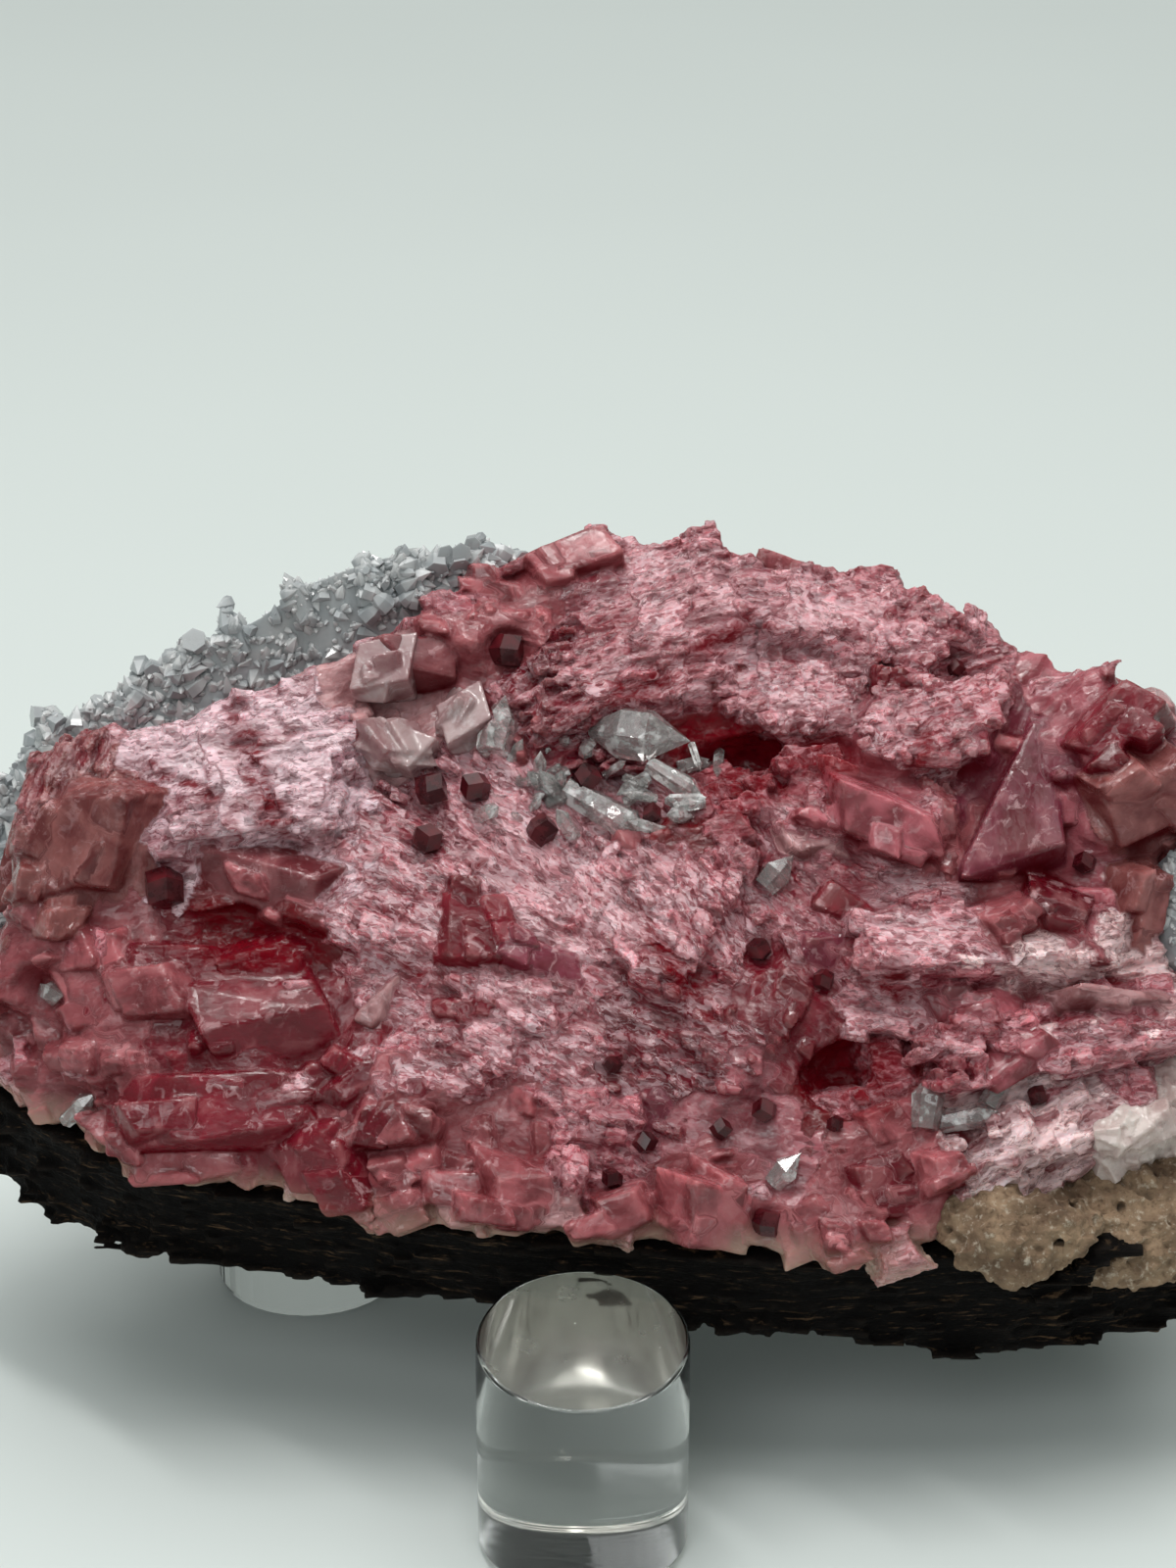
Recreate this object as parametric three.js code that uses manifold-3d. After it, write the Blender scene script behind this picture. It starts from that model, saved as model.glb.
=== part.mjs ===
// A rhodochrosite specimen standing on three clear acrylic pegs.
// A dark slate plate, tilted up towards the back, carries one intergrown mass of pink rhodochrosite.
// Garnets, quartz points and pale rhombs sit in pockets of the mass, a grey quartz druse backs its left
// end and closes its right end, and a weathered crust runs along the slate's right front edge.
// Millimetres, +Z up, the front faces -Y, and x runs from the left end to the right end.
import * as THREE from "three";
import { ConvexGeometry } from "three/addons/geometries/ConvexGeometry.js";
import { mergeVertices } from "three/addons/utils/BufferGeometryUtils.js";
import Module from "manifold-3d";

const wasm = await Module();
wasm.setup();

const { degToRad, lerp, clamp } = THREE.MathUtils;

// ---- Driving dimensions ----
const GAP = 0.3; // clearance between pieces that touch
const PEG_DIAMETER = 25; // stock acrylic rod
const PEG_FRONT_HEIGHT = 27.3; // on the axis of the front peg
const PEG_CUT = 8.5; // degrees, slant of the front peg's top, down to the front
const PEG_STOCK = 45; // rod length before a peg is cut to its height
const PEG_ROUNDING = 1.4; // of the lower rim
const PEG_BEVEL = 0.5; // of the upper rim
const REAR_PEGS = { acrylic_peg_rear_left: [-37, 62], acrylic_peg_rear_right: [60, 60] };
const SLATE_COLUMNS = 22; // of facets along the slate
const MASS_COLUMNS = 21; // and along the mass
const FOOT_PITCH = 9; // between the small rhombs along the foot of the mass
const SLATE_TILT = 14; // degrees, rising to the back
const SLATE_EDGE = { y: 12, z: 33 }; // a point of the slate's top plane at its front edge

// The slate plate: [x, front edge y, back edge y, thickness].
const SLATE = [
  [-83, 51, 60, 5],
  [-79, 43, 69, 10],
  [-73, 36, 76, 13],
  [-65, 30, 81, 15],
  [-53, 23, 85, 12],
  [-41, 20, 88, 11],
  [-29, 17.5, 90, 12],
  [-17, 13.5, 92, 10],
  [-5, 12, 93, 10],
  [6, 10.5, 93, 11],
  [29, 8, 92, 10.5],
  [41, 9.5, 91, 15],
  [50, 10, 89, 16],
  [61, 12, 86, 16],
  [72, 15, 80, 16],
  [82, 25, 72, 13],
  [88, 40, 58, 7],
];

// Hills that stand on the slate: [x, front foot y, crest y, crest z, back foot y].
const MASS_HILL = [
  [-80, 47, 52, 48, 57],
  [-73, 37, 50, 58, 60],
  [-69, 34, 49, 72, 62],
  [-65, 31, 49, 83, 63],
  [-50, 22.5, 52, 86, 66],
  [-36, 19, 54, 90, 68],
  [-20, 14.5, 60, 96, 72],
  [-5, 12, 67, 101, 82],
  [12, 10.5, 71, 103, 90],
  [30, 8, 67, 98, 89],
  [44, 12, 62, 97, 86],
  [56, 16, 56, 91, 80],
  [66, 21, 51, 90, 73],
  [76, 27, 50, 84, 66],
  [85, 40, 50, 62, 57],
];
const LEFT_DRUSE_HILL = [
  [-82, 52, 59, 57, 66],
  [-76, 49, 60, 71, 73],
  [-68, 50, 61, 79, 79],
  [-55, 52, 62, 87, 83],
  [-42, 54, 63, 94, 86],
  [-30, 55, 64, 100, 88],
  [-18, 59, 66, 101, 90],
  [-8, 65, 70, 101, 90],
  [1, 76, 79, 91, 87],
];

// ---- Helpers: numbers ----

// A row of a station table at x, in between its rows by straight lines.
function station(table, x) {
  const next = table.findIndex((row) => row[0] >= x);
  const i = next < 0 ? table.length - 2 : Math.max(next - 1, 0);
  const [a, b] = [table[i], table[i + 1]];
  const t = clamp((x - a[0]) / (b[0] - a[0]), 0, 1);
  return a.map((value, k) => lerp(value, b[k], t));
}

// Seeded random numbers from 0 to 1, so that the part is the same each time.
function seeded(seed) {
  let state = seed;
  return () => {
    state = (state * 1664525 + 1013904223) % 4294967296;
    return state / 4294967296;
  };
}

// An uneven surface, from about -1 to 1, with lumps some 6 to 15 mm across.
function uneven(x, y, z) {
  const swirl = Math.sin(0.53 * x + 0.31 * y) + Math.sin(0.47 * z - 0.29 * x + 1.3);
  return 0.5 * (Math.sin(0.61 * y + 0.37 * z + swirl) + Math.cos(0.43 * x - 0.52 * z + 0.9 * swirl));
}

// ---- Helpers: solids ----

// A closed three.js geometry as a solid, placed by a matrix.
function solidOf(geometry, matrix = new THREE.Matrix4()) {
  const bare = geometry.clone().applyMatrix4(matrix);
  bare.deleteAttribute("normal");
  bare.deleteAttribute("uv");
  const merged = mergeVertices(bare, 1e-4);
  return new wasm.Manifold(
    new wasm.Mesh({
      numProp: 3,
      vertProperties: merged.attributes.position.array,
      triVerts: new Uint32Array(merged.index.array),
    }),
  );
}

// A solid as a three.js geometry with flat faces.
function geometryOf(solid) {
  const mesh = solid.getMesh();
  const indexed = new THREE.BufferGeometry();
  indexed.setAttribute("position", new THREE.BufferAttribute(new Float32Array(mesh.vertProperties), 3));
  indexed.setIndex(new THREE.BufferAttribute(new Uint32Array(mesh.triVerts), 1));
  const flat = indexed.toNonIndexed();
  flat.computeVertexNormals();
  return flat;
}

const joined = (solids) => solids.reduce((whole, solid) => whole.add(solid));
const without = (solid, cutters) => cutters.reduce((rest, cutter) => rest.subtract(cutter), solid);
// The largest body of a solid, without the chips that a cut leaves.
const largest = (solid) => solid.decompose().sort((a, b) => b.volume() - a.volume())[0];

// The body of a solid that reaches lowest: the part of a trimmed peg that stands on the ground.
const lowest = (solid) =>
  solid.decompose().sort((a, b) => a.boundingBox().min[2] - b.boundingBox().min[2])[0];

const CUTTER = 400; // larger than the specimen, so that only one face of such a block cuts

// All that lies above the XY plane of a place, or below it where side is -1.
function halfSpace(place, side = 1) {
  const shift = new THREE.Matrix4().makeTranslation(0, 0, (side * CUTTER) / 2);
  return solidOf(new THREE.BoxGeometry(CUTTER, CUTTER, CUTTER), place.clone().multiply(shift));
}

// A closed skin through rings of points that follow one another along +X, each ring running
// from +Y to +Z around it. A fan closes each end.
function loft(rings) {
  const around = rings[0].length;
  const points = rings.flat();
  const index = [];
  for (let i = 0; i + 1 < rings.length; i++) {
    for (let j = 0; j < around; j++) {
      const a = i * around + j;
      const b = i * around + ((j + 1) % around);
      index.push(a, b, b + around, a, b + around, a + around);
    }
  }
  const ends = [rings[0], rings[rings.length - 1]];
  ends.forEach((ring, end) => {
    const hub = points.length;
    points.push(ring.reduce((sum, p) => sum.add(p), new THREE.Vector3()).divideScalar(around));
    const first = end * (rings.length - 1) * around;
    for (let j = 0; j < around; j++) {
      const rim = [first + j, first + ((j + 1) % around)];
      if (end === 0) rim.reverse();
      index.push(...rim, hub);
    }
  });
  const geometry = new THREE.BufferGeometry().setFromPoints(points);
  geometry.setIndex(index);
  return geometry;
}

// ---- The slate's planes and the front face of the mass ----

const slateTop = (y) => SLATE_EDGE.z + (y - SLATE_EDGE.y) * Math.tan(degToRad(SLATE_TILT));

const FRONT_BULGE = 1.35; // the front face steepens towards its foot

// y of the front face of the mass at x and height z.
function frontFace(x, z) {
  const [, foot, crest, crestZ] = station(MASS_HILL, x);
  const share = clamp((z - slateTop(foot)) / (crestZ - slateTop(foot)), 0, 1);
  return lerp(foot, crest, share ** FRONT_BULGE);
}

// A place on the front face: its Y axis points into the mass, its X axis runs along the face and
// its Z axis up it. rise lifts the right end, lean tips the top back and swing turns the right end
// back, in degrees beyond the face's own slope. depth is how far the place lies behind the face.
function onFace(x, z, { rise = 0, lean = 0, swing = 0, depth = 0 } = {}) {
  const step = 4;
  const slope = Math.atan2(frontFace(x, z + step) - frontFace(x, z - step), 2 * step);
  const turn = Math.atan2(frontFace(x + step, z) - frontFace(x - step, z), 2 * step);
  const face = new THREE.Euler(-slope - degToRad(lean), 0, turn + degToRad(swing), "ZXY");
  const roll = new THREE.Matrix4().makeRotationY(-degToRad(rise));
  return new THREE.Matrix4()
    .makeTranslation(x, frontFace(x, z), z)
    .multiply(new THREE.Matrix4().makeRotationFromEuler(face))
    .multiply(new THREE.Matrix4().makeTranslation(0, depth, 0))
    .multiply(roll);
}

// ---- Shapes ----

const HILL_SINK = 4; // how far a hill reaches into the slate before it is trimmed

// A hill on the slate, from a station table.
function hill(table, { columns, roughness }) {
  const [left, right] = [table[0][0], table[table.length - 1][0]];
  const rings = [];
  for (let i = 0; i <= columns; i++) {
    const x = lerp(left, right, i / columns);
    const [, front, crest, crestZ, rear] = station(table, x);
    const ring = [0, 1 / 3, 2 / 3, 1].map((t) => {
      const y = lerp(front, rear, t);
      return new THREE.Vector3(x, y, slateTop(y) - HILL_SINK);
    });
    const skin = (y, z) => {
      const bump = roughness * uneven(x, y, z);
      return new THREE.Vector3(x, y + bump, z + 0.6 * bump);
    };
    [0.15, 0.5, 0.85].forEach((share) => {
      ring.push(skin(lerp(rear, crest, share ** 2.2), lerp(slateTop(rear), crestZ, share)));
    });
    [1, 0.85, 0.68, 0.5, 0.32, 0.16, 0.02].forEach((share) => {
      ring.push(skin(lerp(front, crest, share ** FRONT_BULGE), lerp(slateTop(front), crestZ, share)));
    });
    rings.push(ring);
  }
  return solidOf(loft(rings));
}

// The slate plate, with a bedded edge and a broken underside.
function slatePlate(columns) {
  const [left, right] = [SLATE[0][0], SLATE[SLATE.length - 1][0]];
  const shares = [0, 0.1, 0.35, 0.65, 0.9, 1];
  const rings = [];
  for (let i = 0; i <= columns; i++) {
    const x = lerp(left, right, i / columns);
    const [, front, back, thickness] = station(SLATE, x);
    const level = (y, depth, amount) =>
      new THREE.Vector3(x, y, slateTop(y) - depth * thickness + amount * uneven(x, y, 9 * depth));
    const undercut = 0.22 * thickness;
    const bottom = shares.map((t) => level(lerp(front + undercut, back - undercut, t), 1, 0.5));
    const top = shares.map((t) => level(lerp(back, front, t), 0, 0));
    const ledge = (y, depth, out) => level(y + out * (1 + 0.6 * uneven(3 * x, 9 * depth, y)), depth, 0.3);
    const backFace = [0.7, 0.35].map((depth) => ledge(back - undercut * depth, depth, -0.5));
    const frontRows = [0.3, 0.65].map((depth) => ledge(front + undercut * depth, depth, 0.5));
    rings.push([...bottom, ...backFace, ...top, ...frontRows]);
  }
  return solidOf(loft(rings));
}

// A rounded, uneven lump that lies along the slate.
function lump({ at, size, roughness = 1, grow = 0 }) {
  const geometry = new THREE.IcosahedronGeometry(1, 2);
  const position = geometry.attributes.position;
  const p = new THREE.Vector3();
  for (let i = 0; i < position.count; i++) {
    p.fromBufferAttribute(position, i);
    const bump = roughness * uneven(at[0] + 9 * p.x, at[1] + 9 * p.y, at[2] + 9 * p.z);
    p.set(
      p.x * (size[0] + grow + bump),
      p.y * (size[1] + grow + bump),
      p.z * (size[2] + grow + 0.5 * bump),
    );
    position.setXYZ(i, p.x, p.y, p.z);
  }
  const tilt = new THREE.Matrix4().makeRotationX(degToRad(SLATE_TILT));
  return solidOf(geometry, new THREE.Matrix4().makeTranslation(...at).multiply(tilt));
}

const CLEAVAGE_LEAN = 0.29; // tangent of how far a cleavage rhomb leans from square

// A cleavage rhomb: a block that leans sideways in two directions.
function rhomb(length, depth, height, grow = 0) {
  const geometry = new THREE.BoxGeometry(length + 2 * grow, depth + 2 * grow, height + 2 * grow);
  const shear = new THREE.Matrix4().makeShear(0, 0, 0, 0, CLEAVAGE_LEAN, 0.12);
  return geometry.applyMatrix4(shear);
}

// A rhombic dodecahedron, the crystal form of garnet. diameter is across its far corners.
function garnet(diameter, grow = 0) {
  const signs = [-1, 1];
  const corner = (x, y) => signs.map((z) => new THREE.Vector3(x, y, z));
  const cube = signs.flatMap((x) => signs.flatMap((y) => corner(x, y)));
  const tip = (axis) => signs.map((side) => new THREE.Vector3().setComponent(axis, 2 * side));
  const scale = diameter / 4 + grow / Math.SQRT2; // its faces lie the root of 2 from the middle
  return new ConvexGeometry([...cube, ...[0, 1, 2].flatMap(tip)]).scale(scale, scale, scale);
}

// A six-sided quartz prism along X, pointed at its right end and, if both is set, at its left end.
function quartzPoint(width, length, { both = false, grow = 0 } = {}) {
  const r = width / 2 + grow;
  const half = length / 2 + grow;
  const tip = 0.75 * width;
  const profile = [
    [0, -half],
    [both ? r : 0.8 * r, both ? tip - half : -half],
    [r, half - tip],
    [0, half],
  ];
  const outline = profile.map(([x, y]) => new THREE.Vector2(x, y));
  return new THREE.LatheGeometry(outline, 6).rotateZ(-Math.PI / 2);
}

// ---- Materials ----
const finish = (color, roughness, more = {}) =>
  new THREE.MeshStandardMaterial({ color, roughness, metalness: 0, flatShading: true, ...more });
const acrylic = finish("#dfe6e2", 0.04, { transparent: true, opacity: 0.35 });
const slateFinish = finish("#15100e", 0.75);
const crustFinish = finish("#8d7a60", 0.9);
const milkyFinish = finish("#cfc8c2", 0.5);
const druseFinish = finish("#9a9e9e", 0.35);
const pink = finish("#b05c68", 0.35);
const garnetFinish = finish("#4f181e", 0.15);
const clearQuartz = finish("#d8d6d2", 0.08, { transparent: true, opacity: 0.5 });
const paleFinish = finish("#b8a29e", 0.3);

const specimen = new THREE.Group();
function addPiece(name, solid, material) {
  const mesh = new THREE.Mesh(geometryOf(solid), material);
  mesh.name = name;
  specimen.add(mesh);
}
const numbered = (name, i) => name + "_" + String(i + 1).padStart(2, "0");

// ---- Embedded crystals. Each is [x, z, ...size, turns] on the front face ----

// Garnets: [x, z, diameter].
const GARNETS = [
  [-9.6, 91.6, 5.4],
  [-51, 67.5, 6.2],
  [-18.6, 78.4, 4.9],
  [-13.2, 78.5, 4.5],
  [-19, 73.5, 4.7],
  [-5, 74.4, 4.4],
  [0.4, 79.3, 4.2],
  [8.4, 75.9, 3.1],
  [21.2, 63.2, 3.6],
  [28.8, 60.5, 3.1],
  [21.5, 48, 3.6],
  [29.8, 47, 2.4],
  [54.3, 47.9, 2.9],
  [21.7, 36.8, 4.2],
  [3.5, 40.6, 3.1],
  [7.4, 44.4, 3.3],
  [3.5, 52, 2.8],
  [16.4, 46, 3],
  [61, 71, 3.4],
  [46.3, 90, 2.7],
];
const garnetRandom = seeded(11);
const garnets = GARNETS.map(([x, z, diameter]) => {
  const turns = new THREE.Euler(3 * garnetRandom(), 3 * garnetRandom(), 3 * garnetRandom());
  const place = onFace(x, z, { depth: -0.12 * diameter }).multiply(
    new THREE.Matrix4().makeRotationFromEuler(turns),
  );
  return (grow) => solidOf(garnet(diameter, grow), place);
});

// Quartz points: [x, z, width, length, rise, swing, both ends pointed].
const QUARTZ_POINTS = [
  [6.5, 83.3, 7, 14, -4, -12, true],
  [-10.5, 84.6, 5, 8, 70, 10, false],
  [3, 76, 4.2, 12, -32, 0, false],
  [11.4, 79, 3, 8, -35, 0, false],
  [23.8, 70.5, 4, 5.5, 60, -20, false],
  [-35.5, 56, 4.5, 7.5, 78, -15, false],
  [-61.6, 42, 2.6, 6, 48, 0, false],
  [41, 48.6, 4, 7, 82, -10, false],
  [45.5, 46.5, 3.2, 8, 12, -15, false],
  [50.5, 50.5, 3.2, 9.5, 52, 0, false],
  [-64.6, 54.7, 3.4, 5, 15, -30, false],
  [24.2, 42.4, 3.4, 5, 60, -25, false],
];
const quartzPoints = QUARTZ_POINTS.map(([x, z, width, length, rise, swing, both]) => {
  const place = onFace(x, z, { rise, swing, depth: -0.1 * width });
  return (grow) => solidOf(quartzPoint(width, length, { both, grow }), place);
});

// Pale rhombs at the head of the quartz pocket: [x, z, length, depth, height, rise].
const PALE_RHOMBS = [
  [-24.4, 90.2, 7.5, 7, 6.5, 14],
  [-23, 82.6, 8, 5, 5, -18],
  [-14.6, 85.4, 6.5, 5, 5.5, 35],
];
const paleRhombs = PALE_RHOMBS.map(([x, z, length, depth, height, rise]) => {
  const place = onFace(x, z, { rise, swing: -8, depth: 0.1 * depth });
  return (grow) => solidOf(rhomb(length, depth, height, grow), place);
});

// Where two crystals meet, the one that comes later is cut off at the earlier one.
const crystals = [...garnets, ...paleRhombs, ...quartzPoints];
const crystalPockets = crystals.map((crystal) => crystal(GAP));
const cutAtEarlier = (crystal, i) => largest(without(crystal(0), crystalPockets.slice(0, i)));
const settled = crystals.map(cutAtEarlier);

// ---- The pieces round the mass ----
const CRUST = { at: [64, 26.5, 32.5], size: [24, 15, 7], roughness: 1.2 };
const MILKY_QUARTZ = { at: [73, 29, 43], size: [9.5, 7, 5.5], roughness: 0.8 };
const RIGHT_DRUSE = { at: [78, 43, 62], size: [10, 10, 12], roughness: 1.4 };
const milkyQuartz = lump(MILKY_QUARTZ);
const milkyPocket = lump({ ...MILKY_QUARTZ, grow: GAP });
const crust = largest(without(lump(CRUST), [milkyPocket, ...crystalPockets]));
const crustPocket = lump({ ...CRUST, grow: GAP });
const rightDruse = largest(without(lump(RIGHT_DRUSE), [milkyPocket, crustPocket, ...crystalPockets]));
const rightDrusePocket = lump({ ...RIGHT_DRUSE, grow: GAP });

// What lies under the slate's top: a hill is trimmed by it, however far the hill's foot is sunk.
const underSlate = halfSpace(
  new THREE.Matrix4()
    .makeTranslation(0, SLATE_EDGE.y, SLATE_EDGE.z + GAP)
    .multiply(new THREE.Matrix4().makeRotationX(degToRad(SLATE_TILT))),
  -1,
);

// Druse crystals stand along the crest of the left druse and over its back.
function druseCrystals() {
  const druseRandom = seeded(5);
  return [-74, -66, -58, -50, -42, -34, -27, -20, -13].flatMap((x) =>
    [0, 13].map((behind) => {
      const [, , crest, crestZ, back] = station(LEFT_DRUSE_HILL, x);
      const share = behind / (back - crest);
      const z = lerp(crestZ, slateTop(back), share ** 1.6) - 1.5;
      const spread = druseRandom() - 0.5;
      const place = new THREE.Matrix4()
        .makeTranslation(x + 5 * spread, crest + behind, z)
        .multiply(new THREE.Matrix4().makeRotationX(-degToRad(15 + 3 * behind)))
        .multiply(new THREE.Matrix4().makeRotationY(-Math.PI / 2 + spread));
      return solidOf(quartzPoint(4.4 + 2 * spread, 7), place);
    }),
  );
}
const druseBody = joined([hill(LEFT_DRUSE_HILL, { columns: 16, roughness: 1 }), ...druseCrystals()]);
const leftDruse = largest(without(druseBody, [underSlate, ...crystalPockets]));
// The mass keeps clear of the druse: its pocket is the druse's body moved up and to all four sides.
const aside = [-GAP, GAP].flatMap((x) => [-GAP, GAP].map((y) => [x, y, GAP]));
const leftDrusePocket = joined(aside.map((shift) => druseBody.translate(shift)));

// ---- The rhodochrosite mass ----

// The large cleavage blocks that show on the front face: x, z, [length, depth, height] and turns.
const BLOCKS = [
  { x: -57, z: 76, size: [24, 14, 17], rise: 12, depth: 5 }, // the striated left block
  { x: -37, z: 81, size: [19, 14, 20], rise: 4, depth: 5, lean: 4 },
  { x: -66, z: 63, size: [11, 12, 12], rise: 20, depth: 3.5 },
  { x: -62, z: 57, size: [21, 12, 8], rise: 6, depth: 3.5, swing: 4 },
  { x: -42, z: 60, size: [20, 9, 6], rise: -4, depth: 3.5, lean: 8 },
  { x: -49, z: 51, size: [26, 10, 7], rise: 4, depth: 2.5, lean: 6 },
  { x: -44, z: 45, size: [20, 10, 7], rise: 3, depth: 2, lean: 6 },
  { x: -28, z: 47, size: [9, 8, 10], rise: 20, depth: 2 },
  { x: -13, z: 93, size: [17, 12, 8], rise: -8, depth: 3, lean: 10 }, // the smooth salmon crystals
  { x: -2, z: 99, size: [12, 12, 8], rise: 25, depth: 4 },
  { x: 8, z: 98, size: [21, 13, 8], rise: 24, depth: 5 }, // the crest lamellae
  { x: 8, z: 91.5, size: [28, 14, 7], rise: 22, depth: 4 },
  { x: 4, z: 87, size: [28, 12, 6], rise: 18, depth: 3.5, lean: 8 },
  { x: 27, z: 95, size: [18, 14, 10], rise: -8, depth: 4 }, // the right ridge
  { x: 39.5, z: 93.5, size: [15, 14, 10], rise: -12, depth: 4.5 },
  { x: 43, z: 84, size: [17, 14, 11], rise: 6, depth: 3 },
  { x: 27, z: 86, size: [14, 10, 9], rise: 10, depth: 3.5 },
  { x: 33, z: 76, size: [24, 9, 8], rise: -14, depth: 1.5, lean: 10 }, // the smooth oval crystal
  { x: 60.5, z: 84, size: [12, 16, 13], rise: 38, depth: 5, swing: -14 }, // the brown right rhomb
  { x: 67, z: 77, size: [14, 12, 8], rise: 24, depth: 3, swing: -10 },
  { x: 49, z: 63, size: [32, 12, 7], rise: -3, depth: 2.5, lean: 12 }, // the sweeping lamella
  { x: 58, z: 53, size: [34, 12, 7], rise: 6, depth: 2.5, lean: 10 },
  { x: 55, z: 44, size: [30, 10, 6], rise: 5, depth: 2, lean: 8 },
  { x: 10, z: 69, size: [20, 10, 16], rise: 62, depth: 3 }, // the fibrous middle
  { x: -10, z: 63, size: [22, 10, 13], rise: -28, depth: 3.5 },
  { x: -26, z: 68, size: [20, 10, 12], rise: -8, depth: 3.5 },
  { x: 20, z: 58, size: [18, 9, 11], rise: 55, depth: 3 },
  { x: -16, z: 52, size: [16, 9, 9], rise: 30, depth: 2.5 },
];
const blocks = BLOCKS.map(({ x, z, size, ...turns }) => solidOf(rhomb(...size), onFace(x, z, turns)));

// The tall pyramid of the right end.
const PYRAMID = { x: 52, z: 78.5, width: 14, height: 22 };
const pyramid = solidOf(
  new THREE.ConeGeometry(PYRAMID.width / 2, PYRAMID.height, 4).rotateX(Math.PI / 2),
  onFace(PYRAMID.x, PYRAMID.z, { rise: -6, lean: -12, depth: 2 }),
);

// Small rhombs along the foot of the mass, above the slate's edge.
const footRandom = seeded(3);
const footRhombs = [];
for (let x = -68; x < 56; x += FOOT_PITCH) {
  const size = 6 + 3 * footRandom();
  const z = slateTop(station(MASS_HILL, x)[1]) + 2.5 + 3.5 * footRandom();
  const turns = { rise: 90 * footRandom(), swing: 50 * (footRandom() - 0.5), depth: 1.5 };
  footRhombs.push(solidOf(rhomb(size, size, 0.8 * size), onFace(x, z, turns)));
}

// Two deep hollows in the front face.
const hollows = [
  { x: 18.5, z: 80.5, size: [11, 9, 5], rise: 8 },
  { x: 33, z: 52, size: [12, 7, 6], rise: 10 },
].map(({ x, z, size, rise }) => solidOf(rhomb(...size), onFace(x, z, { rise, depth: 1 })));

const massHill = hill(MASS_HILL, { columns: MASS_COLUMNS, roughness: 0.9 });
const mass = largest(
  without(joined([massHill, ...blocks, pyramid, ...footRhombs]), [
    ...hollows,
    ...crystalPockets,
    leftDrusePocket,
    ...[rightDrusePocket, crustPocket, milkyPocket],
    underSlate,
  ]),
);

// ---- The pegs and the slate ----
function peg(height) {
  const r = PEG_DIAMETER / 2;
  const profile = [
    [0, 0],
    [r - PEG_ROUNDING, 0],
    [r - 0.3 * PEG_ROUNDING, 0.3 * PEG_ROUNDING],
    [r, PEG_ROUNDING],
    [r, height],
    [0, height],
  ];
  const outline = profile.map(([x, y]) => new THREE.Vector2(x, y));
  return new THREE.LatheGeometry(outline, 32).rotateX(Math.PI / 2);
}
// A plane through a height on the front peg's axis, sloping down to the front.
const peggedPlane = (height, slope) =>
  new THREE.Matrix4()
    .makeTranslation(0, 0, height)
    .multiply(new THREE.Matrix4().makeRotationX(degToRad(slope)));
const uprightPeg = solidOf(peg(PEG_STOCK));
const frontPeg = uprightPeg
  .subtract(halfSpace(peggedPlane(PEG_FRONT_HEIGHT, PEG_CUT)))
  .subtract(halfSpace(peggedPlane(PEG_FRONT_HEIGHT + PEG_BEVEL, 1.9 * PEG_CUT)));
const pocketRadius = PEG_DIAMETER / 2 + GAP;
const frontPegPocket = solidOf(
  new THREE.CylinderGeometry(pocketRadius, pocketRadius, PEG_FRONT_HEIGHT + 4, 48).rotateX(Math.PI / 2),
  new THREE.Matrix4().makeTranslation(0, 0, (PEG_FRONT_HEIGHT + 4) / 2),
);
const wholeSlate = slatePlate(SLATE_COLUMNS);
const slate = largest(without(wholeSlate, [crustPocket, frontPegPocket]));
const loweredSlate = wholeSlate.translate([0, 0, -GAP]);

addPiece("acrylic_peg_front", frontPeg, acrylic);
Object.entries(REAR_PEGS).forEach(([name, [x, y]]) => {
  addPiece(name, lowest(uprightPeg.translate([x, y, 0]).subtract(loweredSlate)), acrylic);
});
addPiece("slate_matrix", slate, slateFinish);
addPiece("weathered_crust", crust, crustFinish);
addPiece("milky_quartz", milkyQuartz, milkyFinish);
addPiece("quartz_druse_left", leftDruse, druseFinish);
addPiece("quartz_druse_right", rightDruse, druseFinish);
addPiece("rhodochrosite_mass", mass, pink);
settled.forEach((crystal, i) => {
  const rhombAt = i - garnets.length;
  const quartzAt = rhombAt - paleRhombs.length;
  if (rhombAt < 0) addPiece(numbered("garnet", i), crystal, garnetFinish);
  else if (quartzAt < 0) addPiece(numbered("pale_rhomb", rhombAt), crystal, paleFinish);
  else addPiece(numbered("quartz_point", quartzAt), crystal, clearQuartz);
});

// The origin is the middle of the object's box, at the level that the pegs stand on.
const box = new THREE.Box3().setFromObject(specimen);
const middle = box.getCenter(new THREE.Vector3());
specimen.position.set(-middle.x, -middle.y, -box.min.z);

const object = new THREE.Group();
object.add(specimen);
export default object;
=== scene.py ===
"""The looks of a rhodochrosite specimen on three acrylic pegs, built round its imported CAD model.

Shapes are worked out in millimetres in the CAD model's frame and become metres as a mesh is made.
The pink mass, the slate and the crust are each a CAD solid with many small blocks grown on it.
"""

import math

import bmesh
import bpy
import numpy as np
from mathutils import Euler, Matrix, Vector
from mathutils.bvhtree import BVHTree


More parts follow.
